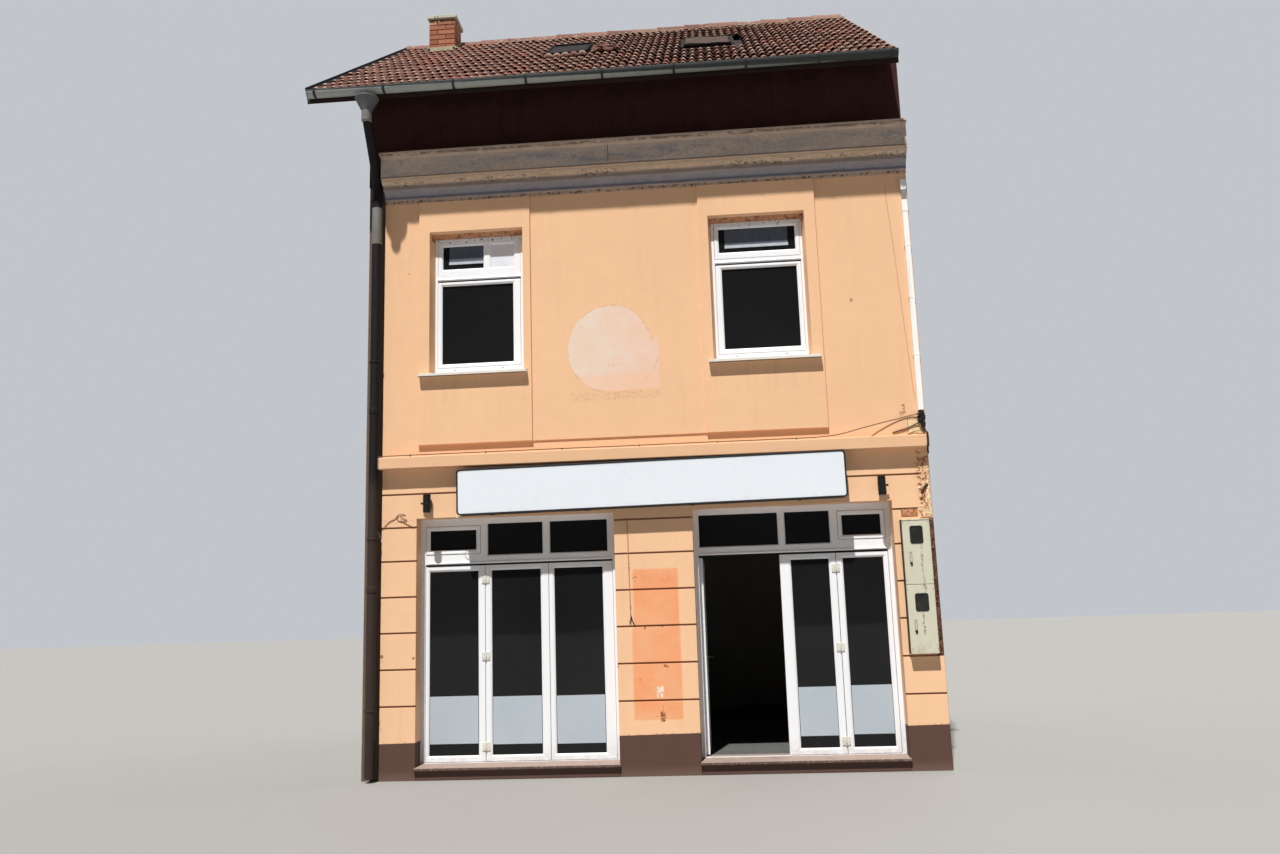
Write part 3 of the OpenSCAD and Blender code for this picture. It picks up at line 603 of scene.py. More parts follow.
def glass_material(name="glazing"):
    M = Mat(name, 0.035, 0.24)
    # painted shade: near-black, almost opaque glass standing for the unlit rooms behind it
    c = M.vary(C(28, 28, 30), M.noise(0.8, 3, 0.5), 0.84, 1.16)
    smear = M.smooth(M.noise(1.0, 6, 0.7, M.vec(5, 5, 1.1)), 0.52, 0.80)
    c = M.mix(M.mul(smear, 0.06), c, C(80, 84, 86))
    r = M.add(0.03, M.mul(M.smooth(M.noise(7, 6, 0.7), 0.5, 0.75), 0.08))
    nrm = M.bump(M.noise(1.6, 2, 0.5), 0.004, 0.12)
    M.b.inputs["Alpha"].default_value = 0.93
    return M.done(c, r, nrm)


def film_material():
    M = Mat("film_sheet", 0.5, 0.35)
    c = M.vary(C(178, 189, 199), M.noise(2.0, 4, 0.6), 0.96, 1.04)
    c = M.mix(M.mul(M.smooth(M.noise(1.0, 6, 0.7, M.vec(18, 18, 3)), 0.55, 0.75), 0.15), c, C(204, 210, 214))
    c = M.mix(M.mul(M.smooth(M.noise(46, 5, 0.75), 0.68, 0.73), 0.35), c, C(120, 130, 140))
    return M.done(c, rrange(M, M.noise(8, 4, 0.6), 0.42, 0.6), M.bump(M.noise(120, 3, 0.6), 0.0004, 0.4))


def wood_material(name, dark, light, along="x"):
    M = Mat(name, 0.75, 0.3)
    v = M.vec(1.2, 22, 22) if along == "x" else M.vec(22, 1.2, 22)
    g = M.noise(1.6, 6, 0.65, v, 0.6)
    c = M.mix(M.smooth(g, 0.35, 0.66), dark, light)
    c = M.vary(c, M.noise(2.0, 4, 0.6), 0.85, 1.12)
    return M.done(c, rrange(M, g, 0.6, 0.85), M.bump(g, 0.0016, 0.6))


def floor_tile_material():
    M = Mat("floor_tile", 0.5, 0.35)
    fx = M.op("ABSOLUTE", M.add(M.op("FRACT", M.mul(M.x, 1 / 0.333)), -0.5))
    fy = M.op("ABSOLUTE", M.add(M.op("FRACT", M.mul(M.y, 1 / 0.333)), -0.5))
    joint = M.op("MAXIMUM", M.smooth(fx, 0.488, 0.493), M.smooth(fy, 0.488, 0.493))
    cell = M.node("ShaderNodeTexWhiteNoise")
    fl = M.node("ShaderNodeVectorMath")
    fl.operation = "FLOOR"
    M.t.links.new(M.vec(1 / 0.333, 1 / 0.333, 0.0), fl.inputs[0])
    M.t.links.new(fl.outputs[0], cell.inputs["Vector"])
    c = M.vary(C(96, 98, 96), cell.outputs["Value"], 0.96, 1.04)
    c = M.vary(c, M.noise(9, 6, 0.65), 0.92, 1.06)
    c = M.mix(M.mul(M.smooth(M.noise(3, 5, 0.6), 0.52, 0.7), 0.3), c, C(74, 72, 70))
    c = M.mix(M.mul(joint, 0.5), c, C(70, 68, 66))
    return M.done(c, M.add(rrange(M, M.noise(6, 4, 0.6), 0.45, 0.65), M.mul(joint, 0.3)), M.bump(M.inv(joint), 0.0015, 0.7))


def cabinet_material():
    M = Mat("cabinet_cream", 0.5, 0.35)
    mid = M.noise(6, 6, 0.65)
    c = M.vary(C(208, 205, 184), mid, 0.94, 1.04)
    c = M.mix(M.mul(M.smooth(M.noise(1.0, 5, 0.65, M.vec(26, 26, 1.6)), 0.55, 0.74), 0.18), c, C(176, 168, 140))
    for x, z0, z1 in ((5.834, 2.10, 2.29), (5.830, 1.86, 2.10), (5.842, 1.79, 1.90), (5.800, 1.36, 1.60)):
        wob = M.mul(M.add(M.noise(15, 5, 0.8), -0.5), 0.075)
        d = M.op("ABSOLUTE", M.add(M.add(M.x, wob), -x))
        st = M.mul(M.mul(M.inv(M.smooth(d, 0.002, 0.016)), M.band(M.z, z0, z1, 0.02)), M.smooth(M.noise(58, 5, 0.78), 0.47, 0.54))
        c = M.mix(M.mul(st, 0.9), c, C(104, 84, 62))
    c = M.mix(M.mul(M.smooth(M.noise(60, 5, 0.75), 0.66, 0.71), 0.6), c, C(128, 108, 80))
    low = M.mul(M.inv(M.smooth(M.z, 1.18, 1.34)), M.smooth(M.noise(24, 5, 0.7), 0.45, 0.6))
    c = M.mix(M.mul(low, 0.4), c, C(146, 132, 104))
    # painted shade on the cabinet's left side
    painted_left_side_shade = M.mul(M.inv(M.smooth(M.x, 5.649, 5.6525)), M.smooth(M.y, -0.094, -0.084))
    c = M.mix(M.mul(painted_left_side_shade, 0.8), c, C(78, 60, 48))
    tp = M.mul(M.band(M.z, 2.52, 2.56, 0.012), M.smooth(M.noise(30, 5, 0.75), 0.55, 0.62))
    c = M.mix(M.mul(tp, 0.6), c, C(140, 112, 86))
    return M.done(c, rrange(M, mid, 0.42, 0.62), M.bump(M.noise(170, 3, 0.6), 0.0005, 0.5))


def sign_material():
    M = Mat("sign_white", 0.32, 0.45, coat=0.1)
    c = M.vary(C(230, 236, 244), M.noise(1.2, 4, 0.6), 0.98, 1.012)
    c = M.mix(M.mul(M.smooth(M.noise(1.0, 6, 0.7, M.vec(8, 8, 1.5)), 0.54, 0.76), 0.08), c, C(200, 204, 210))
    zz = M.add(M.z, M.mul(M.add(M.x, -2.991), -0.00925))
    edge = M.op("MAXIMUM", M.inv(M.smooth(zz, 2.82, 2.87)), M.smooth(zz, 3.24, 3.30))
    c = M.mix(M.mul(M.mul(edge, M.smooth(M.noise(12, 6, 0.7), 0.44, 0.62)), 0.18), c, C(180, 178, 176))
    return M.done(c, rrange(M, M.noise(5, 4, 0.6), 0.26, 0.42), M.bump(M.noise(2.2, 2, 0.5), 0.003, 0.25))


def stone_material():
    M = Mat("threshold_stone", 0.7, 0.3)
    mid = M.noise(11, 7, 0.7)
    c = M.vary(M.vary(C(160, 140, 130), mid, 0.86, 1.07), M.noise(120, 3, 0.6), 0.93, 1.06)
    c = M.mix(M.mul(M.smooth(M.noise(5, 6, 0.7), 0.54, 0.68), 0.35), c, C(118, 98, 88))
    front = M.inv(M.smooth(M.y, -0.038, -0.033))
    fc = M.mix(M.smooth(M.noise(40, 5, 0.78), 0.54, 0.60), C(84, 64, 56), C(144, 122, 110))
    c = M.mix(M.mul(front, 0.92), c, fc)
    body = M.mul(M.inv(M.smooth(M.z, 0.099, 0.1015)), M.inv(M.smooth(M.y, 0.02, 0.04)))
    c = M.mix(body, c, M.vary(C(92, 68, 60), mid, 0.92, 1.08))
    return M.done(c, rrange(M, mid, 0.55, 0.8), M.bump(M.noise(70, 5, 0.7), 0.0015, 0.5))


MT = {}


def build_materials():
    MT["ground"] = render_paint("ground_floor_render", C(240, 195, 156), "ground")
    MT["upper"] = render_paint("upper_floor_render", C(236, 191, 152), "upper")
    MT["rear"] = render_paint("rear_render", C(228, 186, 148), "rear")
    MT["party"] = party_material()
    MT["attic"] = attic_material()
    MT["cornice"] = cornice_material()
    MT["tile"] = tile_material()
    MT["ridge"] = tile_material("ridge_clay", True)
    MT["brick"] = brick_material()
    MT["mortar"] = mortar_material("mortar", (138, 118, 104), 0.25)
    MT["fillet"] = mortar_material("chimney_fillet", (160, 154, 128), 0.35)
    MT["joint"] = mortar_material("brick_joint", (104, 76, 64), 0.1)
    MT["crust"] = crust_material()
    MT["cap"] = mortar_material("chimney_cap", (196, 196, 178), 0.12)
    MT["gutter"] = gutter_material()
    MT["zinc"] = simple("hopper_zinc", C(100, 101, 106), 0.6, 0.3, 0.1, 0.14, 6, 60, 0.001, C(66, 66, 66), 0.5, streak=True)
    MT["zinc_light"] = simple("neck_zinc", C(122, 121, 117), 0.7, 0.25, 0.1, 0.14, 6, 60, 0.001, C(70, 66, 62), 0.5, streak=True)
    MT["pipe"] = pipe_material()
    # painted shade: the left verge sheet coloured near black for its shaded side
    MT["verge"] = simple("verge_sheet", C(15, 15, 18), 0.85, 0.08, 0.0, 0.12, 4, 60, 0.0008, C(58, 56, 52), 0.3)
    MT["verge_rim"] = simple("verge_rim", C(38, 38, 38), 0.85, 0.08, 0.0, 0.2, 5, 60, 0.0008, C(50, 48, 44), 0.5)
    MT["flash"] = simple("lead_flashing", C(50, 44, 42), 0.85, 0.1, 0.0, 0.15, 5, 50, 0.0015, C(42, 38, 36), 0.5)
    MT["sky_frame"] = simple("roof_window_frame", C(30, 28, 28), 0.85, 0.08, 0.0, 0.14, 6, 60, 0.001, C(74, 66, 58), 0.4)
    MT["sky_glass"] = simple("roof_window_glass", C(46, 44, 44), 0.80, 0.06, 0.0, 0.2, 2.5, 40, 0.0003, C(70, 66, 62), 0.3, streak=True)
    MT["sky_lid"] = simple("roof_hatch_lid", C(84, 70, 63), 0.92, 0.08, 0.0, 0.25, 9, 60, 0.001, C(58, 50, 46), 0.8)
    MT["sign"] = sign_material()
    MT["charcoal"] = simple("sign_edge", C(36, 38, 42), 0.5, 0.4, 0.1, 0.12, 5, 70, 0.0006, C(88, 84, 80), 0.3)
    MT["black"] = simple("lamp_black", C(24, 24, 26), 0.42, 0.45, 0.2, 0.2, 20, 160, 0.0005, C(80, 74, 68), 0.3)
    MT["lens"] = simple("lamp_lens", C(200, 202, 200), 0.12, 0.5, 0.0, 0.05, 20, 160, 0.0002)
    MT["cabinet"] = cabinet_material()
    MT["cab_glass"] = simple("cabinet_window", C(40, 42, 38), 0.2, 0.5, 0.0, 0.3, 14, 120, 0.0004, C(92, 92, 80), 0.3)
    MT["rubber"] = simple("gasket_rubber", C(34, 35, 36), 0.7, 0.3, 0.0, 0.15, 12, 160, 0.0005, C(90, 88, 84), 0.2)
    MT["trunk"] = simple("trunking_white", C(246, 245, 242), 0.4, 0.4, 0.0, 0.04, 5, 120, 0.0004, C(168, 158, 142), 0.3, streak=True)
    MT["grey_joint"] = simple("trunking_grey", C(128, 128, 130), 0.5, 0.4, 0.0, 0.1, 9, 120, 0.0004, C(84, 80, 76), 0.3)
    MT["stone"] = stone_material()
    MT["frame"] = upvc_material()
    MT["glass"] = glass_material()
    MT["film"] = film_material()
    MT["sill"] = simple("sill_white", C(226, 221, 212), 0.45, 0.4, 0.0, 0.05, 4, 90, 0.0006, C(176, 156, 134), 0.3, streak=True)
    MT["panel"] = simple("window_panel", C(228, 230, 238), 0.4, 0.4, 0.0, 0.05, 4, 90, 0.0005, C(180, 178, 176), 0.3)
    MT["blind"] = simple("blind_cloth", C(84, 91, 104), 0.7, 0.3, 0.0, 0.12, 9, 90, 0.0004, C(36, 38, 42), 0.4)
    MT["rail"] = simple("blind_rail", C(182, 187, 195), 0.5, 0.4, 0.0, 0.10, 9, 90, 0.0004, C(110, 112, 114), 0.3)
    MT["hinge"] = simple("hinge_cream", C(214, 213, 204), 0.45, 0.4, 0.0, 0.06, 12, 160, 0.0004, C(150, 136, 112), 0.35)
    MT["floor_tile"] = floor_tile_material()
    MT["boards"] = wood_material("floor_boards", C(84, 66, 50), C(120, 98, 76), "y")
    # painted shade: the soffit boards coloured near black, darker than their own brown
    MT["soffit"] = wood_material("soffit_boards", C(36, 24, 22), C(52, 36, 31), "x")
    MT["cable"] = simple("cable_sheath", C(30, 27, 27), 0.55, 0.3, 0.0, 0.2, 12, 160, 0.0004, C(96, 86, 76), 0.25)
    MT["brown_wire"] = simple("brown_wire", C(96, 70, 54), 0.6, 0.3, 0.0, 0.2, 14, 160, 0.0004, C(150, 116, 88), 0.35)
    MT["white_wire"] = simple("white_wire", C(222, 216, 200), 0.5, 0.3, 0.0, 0.1, 14, 160, 0.0004, C(150, 136, 116), 0.3)
    MT["conduit"] = simple("conduit_paint", C(196, 142, 104), 0.6, 0.3, 0.0, 0.12, 12, 120, 0.0004, C(120, 76, 52), 0.6)
    MT["steel"] = simple("hardware_steel", C(150, 150, 152), 0.35, 0.5, 0.9, 0.08, 20, 200, 0.0003, C(100, 92, 84), 0.3)


# ---------------------------------------------------------------- mesh making
class Bld:
    def __init__(s):
        s.v, s.f, s.t = [], [], []

    def add(s, verts, faces, tint=(0.5, 0.5, 0.5)):
        o = len(s.v)
        s.v += [tuple(p) for p in verts]
        s.f += [tuple(i + o for i in f) for f in faces]
        if isinstance(tint, list):
            s.t += tint
        else:
            s.t += [tint] * len(verts)

    def box(s, x0, x1, y0, y1, z0, z1, c=0.0, tint=(0.5, 0.5, 0.5)):
        """a block; with c, all its edges are chamfered"""
        if c <= 0:
            v = [(x, y, z) for x in (x0, x1) for y in (y0, y1) for z in (z0, z1)]
            s.add(v, [(0, 1, 3, 2), (4, 6, 7, 5), (0, 4, 5, 1), (2, 3, 7, 6), (0, 2, 6, 4), (1, 5, 7, 3)], tint)
            return
        ex = ((x0, 1), (x1, -1))
        ey = ((y0, 1), (y1, -1))
        ez = ((z0, 1), (z1, -1))
        v, ix = [], {}
        for i, (x, sx) in enumerate(ex):
            for j, (y, sy) in enumerate(ey):
                for k, (z, sz) in enumerate(ez):
                    ix[i, j, k, 0] = len(v); v.append((x, y + sy * c, z + sz * c))
                    ix[i, j, k, 1] = len(v); v.append((x + sx * c, y, z + sz * c))
                    ix[i, j, k, 2] = len(v); v.append((x + sx * c, y + sy * c, z))
        f = []
        for i in (0, 1):
            f.append([ix[i, 0, 0, 0], ix[i, 0, 1, 0], ix[i, 1, 1, 0], ix[i, 1, 0, 0]])
            f.append([ix[0, i, 0, 1], ix[1, i, 0, 1], ix[1, i, 1, 1], ix[0, i, 1, 1]])
            f.append([ix[0, 0, i, 2], ix[0, 1, i, 2], ix[1, 1, i, 2], ix[1, 0, i, 2]])
            for j in (0, 1):
                f.append([ix[i, j, 0, 0], ix[i, j, 1, 0], ix[i, j, 1, 1], ix[i, j, 0, 1]])
                f.append([ix[i, 0, j, 0], ix[i, 1, j, 0], ix[i, 1, j, 2], ix[i, 0, j, 2]])
                f.append([ix[0, i, j, 1], ix[1, i, j, 1], ix[1, i, j, 2], ix[0, i, j, 2]])
                for k in (0, 1):
                    f.append([ix[i, j, k, 0], ix[i, j, k, 1], ix[i, j, k, 2]])
        s.add(v, f, tint)

    def prism(s, poly, axis, a, b, cuts=(), wob=None, tint=(0.5, 0.5, 0.5)):
        """a 2D outline run along an axis from a to b, with rings at the cuts"""
        at = [a, *cuts, b]
        put = {"x": lambda p, t: (t, p[0], p[1]), "y": lambda p, t: (p[0], t, p[1]), "z": lambda p, t: (p[0], p[1], t)}[axis]
        n, v = len(poly), []
        for i, t in enumerate(at):
            for j, p in enumerate(poly):
                q = wob(p, t, j) if wob else p
                v.append(put(q, t))
        f = [tuple(range(n)), tuple(range(len(at) * n - 1, (len(at) - 1) * n - 1, -1))]
        for i in range(len(at) - 1):
            for j in range(n):
                k = (j + 1) % n
                f.append((i * n + j, i * n + k, (i + 1) * n + k, (i + 1) * n + j))
        s.add(v, f, tint)

    def ring(s, outer, inner, prof):
        """a frame round a rectangle; prof is a closed profile of (side, distance, y)"""
        n, v = len(prof), []
        for cx, cz in ((0, 2), (1, 2), (1, 3), (0, 3)):
            sx, sz = (1 if cx == 0 else -1), (1 if cz == 2 else -1)
            for side, d, y in prof:
                if side == "o":
                    v.append((outer[cx] + sx * d, y, outer[cz] + sz * d))
                else:
                    v.append((inner[cx] - sx * d, y, inner[cz] - sz * d))
        f = []
        for i in range(4):
            for j in range(n):
                k, ii = (j + 1) % n, (i + 1) % 4
                f.append((i * n + j, i * n + k, ii * n + k, ii * n + j))
        s.add(v, f)

    def loop_ring(s, outer, inner, y0, y1):
        """a flat band between two outlines of equal count in X and Z"""
        n = len(outer)
        v = [(p[0], y, p[1]) for y in (y0, y1) for p in (*outer, *inner)]
        f = []
        for j in range(n):
            k = (j + 1) % n
            f += [(j, k, n + k, n + j), (2 * n + j, 3 * n + j, 3 * n + k, 2 * n + k), (j, 2 * n + j, 2 * n + k, k), (n + j, n + k, 3 * n + k, 3 * n + j)]
        s.add(v, f)

    def lathe(s, cx, cy, prof, n=28, axis="z"):
        """a profile of (radius, position) turned about an axis through (cx, cy); closed if it starts and ends at radius 0"""
        put = {"z": lambda a, r, t: (cx + r * math.cos(a), cy + r * math.sin(a), t), "x": lambda a, r, t: (t, cx + r * math.cos(a), cy + r * math.sin(a)), "y": lambda a, r, t: (cx + r * math.cos(a), t, cy + r * math.sin(a))}[axis]
        v, rows = [], []
        for r, t in prof:
            if r < 1e-6:
                rows.append([len(v)] * n)
                v.append(put(0, 0, t))
            else:
                rows.append(list(range(len(v), len(v) + n)))
                v += [put(2 * math.pi * i / n, r, t) for i in range(n)]
        f = []
        for a, b in zip(rows, rows[1:]):
            for i in range(n):
                k = (i + 1) % n
                q = [a[i], a[k], b[k], b[i]]
                q = [x for j, x in enumerate(q) if x not in q[:j]]
                if len(q) > 2:
                    f.append(tuple(q))
        s.add(v, f)

    def tube(s, pts, r, n=12):
        pts = [Vector(p) for p in pts]
        t0 = (pts[1] - pts[0]).normalized()
        ref = Vector((0, 0, 1)) if abs(t0.z) < 0.9 else Vector((1, 0, 0))
        u = t0.cross(ref).normalized()
        v, rr = [], r if isinstance(r, (list, tuple)) else [r] * len(pts)
        for i, p in enumerate(pts):
            t = (pts[min(i + 1, len(pts) - 1)] - pts[max(i - 1, 0)]).normalized()
            u = (u - t * u.dot(t)).normalized()
            w = t.cross(u)
            v += [tuple(p + rr[i] * (math.cos(2 * math.pi * k / n) * u + math.sin(2 * math.pi * k / n) * w)) for k in range(n)]
        f = [tuple(range(n)), tuple(range(len(pts) * n - 1, (len(pts) - 1) * n - 1, -1))]
        for i in range(len(pts) - 1):
            for k in range(n):
                kk = (k + 1) % n
                f.append((i * n + k, i * n + kk, (i + 1) * n + kk, (i + 1) * n + k))
        s.add(v, f)

    def grid_shell(s, rows_top, rows_bot, tint):
        """a closed shell between two grids of points"""
        m, n = len(rows_top), len(rows_top[0])
        v = [p for row in rows_top for p in row] + [p for row in rows_bot for p in row]
        o = m * n
        f = []
        for i in range(m - 1):
            for j in range(n - 1):
                a = i * n + j
                f.append((a, a + 1, a + n + 1, a + n))
                f.append((o + a, o + a + n, o + a + n + 1, o + a + 1))
        for j in range(n - 1):
            f.append((j, o + j, o + j + 1, j + 1))
            a = (m - 1) * n + j
            f.append((a, a + 1, o + a + 1, o + a))
        for i in range(m - 1):
            a = i * n
            f.append((a, a + n, o + a + n, o + a))
            a = i * n + n - 1
            f.append((a, o + a, o + a + n, a + n))
        s.add(v, f, tint)

    def obj(s, name, mat, body="building", replaces=(), slot=None, smooth=None, bevel=0.0, segs=2, place=None, tint=False, rides=True):
        me = bpy.data.meshes.new(name)
        pts = [Vector((x + OX, y + OY, z)) for x, y, z in s.v]
        if place is not None:
            pts = [place @ p for p in pts]
        me.from_pydata([tuple(p) for p in pts], [], s.f)
        me.update()
        bm = bmesh.new()
        bm.from_mesh(me)
        bmesh.ops.recalc_face_normals(bm, faces=bm.faces)
        bm.to_mesh(me)
        bm.free()
        if tint:
            a = me.attributes.new("tint", "FLOAT_COLOR", "POINT")
            a.data.foreach_set("color", [x for t in s.t for x in (*t, 1.0)])
        return finish_obj(me, name, mat, body, replaces, smooth, bevel, segs)


def finish_obj(me, name, mat, body, replaces=(), smooth=None, bevel=0.0, segs=2):
    me.materials.clear()
    me.materials.append(mat)
    ob = bpy.data.objects.new(name, me)
    bpy.context.scene.collection.objects.link(ob)
    if smooth is not None:
        me.polygons.foreach_set("use_smooth", [True] * len(me.polygons))
        me.set_sharp_from_angle(angle=math.radians(smooth))
    if bevel > 0:
        m = ob.modifiers.new("edges", "BEVEL")
        m.width, m.segments, m.limit_method, m.angle_limit = bevel, segs, "ANGLE", math.radians(28)
        m.use_clamp_overlap = True
    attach(ob, body)
    for n in replaces:
        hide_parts(n)
    return ob


def softened(node, mat, name=None, width=0.004, segs=2, angle=28):
    """the CAD solid's own shape with its arrises eased"""
    me = CAD[node].data.copy()
    bm = bmesh.new()
    bm.from_mesh(me)
    bmesh.ops.remove_doubles(bm, verts=bm.verts, dist=2e-5)
    bmesh.ops.dissolve_limit(bm, angle_limit=math.radians(0.6), verts=bm.verts, edges=bm.edges)
    bmesh.ops.recalc_face_normals(bm, faces=bm.faces)
    bm.to_mesh(me)
    bm.free()
    me.name = name or node + "_skin"
    for a in [x.name for x in me.attributes if x.name.startswith("custom_normal")]:
        me.attributes.remove(me.attributes[a])
    ob = finish_obj(me, name or node + "_skin", mat, "building", (node,), None, width, segs)
    me.polygons.foreach_set("use_smooth", [False] * len(me.polygons))
    ob.modifiers["edges"].angle_limit = math.radians(angle)
    return ob


def paint(node, mat):
    me = CAD[node].data
    me.materials.clear()
    me.materials.append(mat)


def rounded(x0, x1, z0, z1, r, n=6):
    out = []
    for cx, cz, a0 in ((x1 - r, z1 - r, 0), (x0 + r, z1 - r, 90), (x0 + r, z0 + r, 180), (x1 - r, z0 + r, 270)):
        for i in range(n + 1):
            a = math.radians(a0 + 90 * i / n)
            out.append((cx + r * math.cos(a), cz + r * math.sin(a)))
    return out


def slope_pt(x, s, h, rear=False):
    """a point s up a roof slope from its eaves, h above the tile plane"""
    y = EAVE_Y + s * CP - h * SP
    z = EAVE_Z + s * SP + h * CP
    return (x, 2 * RIDGE_Y - y, z) if rear else (x, y, z)


# ---------------------------------------------------------------- walls
GROOVES = (3.053, 2.683, 2.314, 1.925, 1.539, 1.151, 0.765)


def loft_z(name, levels, plan, mat, node, slot):
    """plan(d) gives an outline with its front moved in by d, levels are (z, d)"""
    b = Bld()
    rings = [[(x, y, z) for x, y in plan(d)] for z, d in levels]
    n = len(rings[0])
    v = [p for r in rings for p in r]
    f = [tuple(range(n)), tuple(range(len(rings) * n - 1, (len(rings) - 1) * n - 1, -1))]
    for i in range(len(rings) - 1):
        for j in range(n):
            k = (j + 1) % n
            f.append((i * n + j, i * n + k, (i + 1) * n + k, (i + 1) * n + j))
    b.add(v, f)
    return b.obj(name, mat, replaces=(node,), slot=slot)


def groove_levels(z0, z1, first=0.0):
    lv = [(z0, first)]
    for g in sorted(GROOVES):
        if z0 + 0.03 < g < z1 - 0.03:
            lv += [(g - 0.012, 0.0), (g - 0.007, 0.013), (g + 0.007, 0.013), (g + 0.012, 0.0)]
    lv.append((z1, 0.0))
    return lv


def front_outline(x0, x1, wing=False):
    r = 0.007

    def plan(d):
        pts = [(x1, 0.4), (x1, d + r), (x1 - 0.3 * r, d + 0.3 * r), (x1 - r, d)]
        if wing:
            pts += [(r, d), (0.3 * r, d + 0.3 * r), (0.0, d + r), (0.0, 0.03), (x0, 0.03), (x0, 0.4)]
        else:
            pts += [(x0 + r, d), (x0 + 0.3 * r, d + 0.3 * r), (x0, d + r), (x0, 0.4)]
        return pts

    return plan


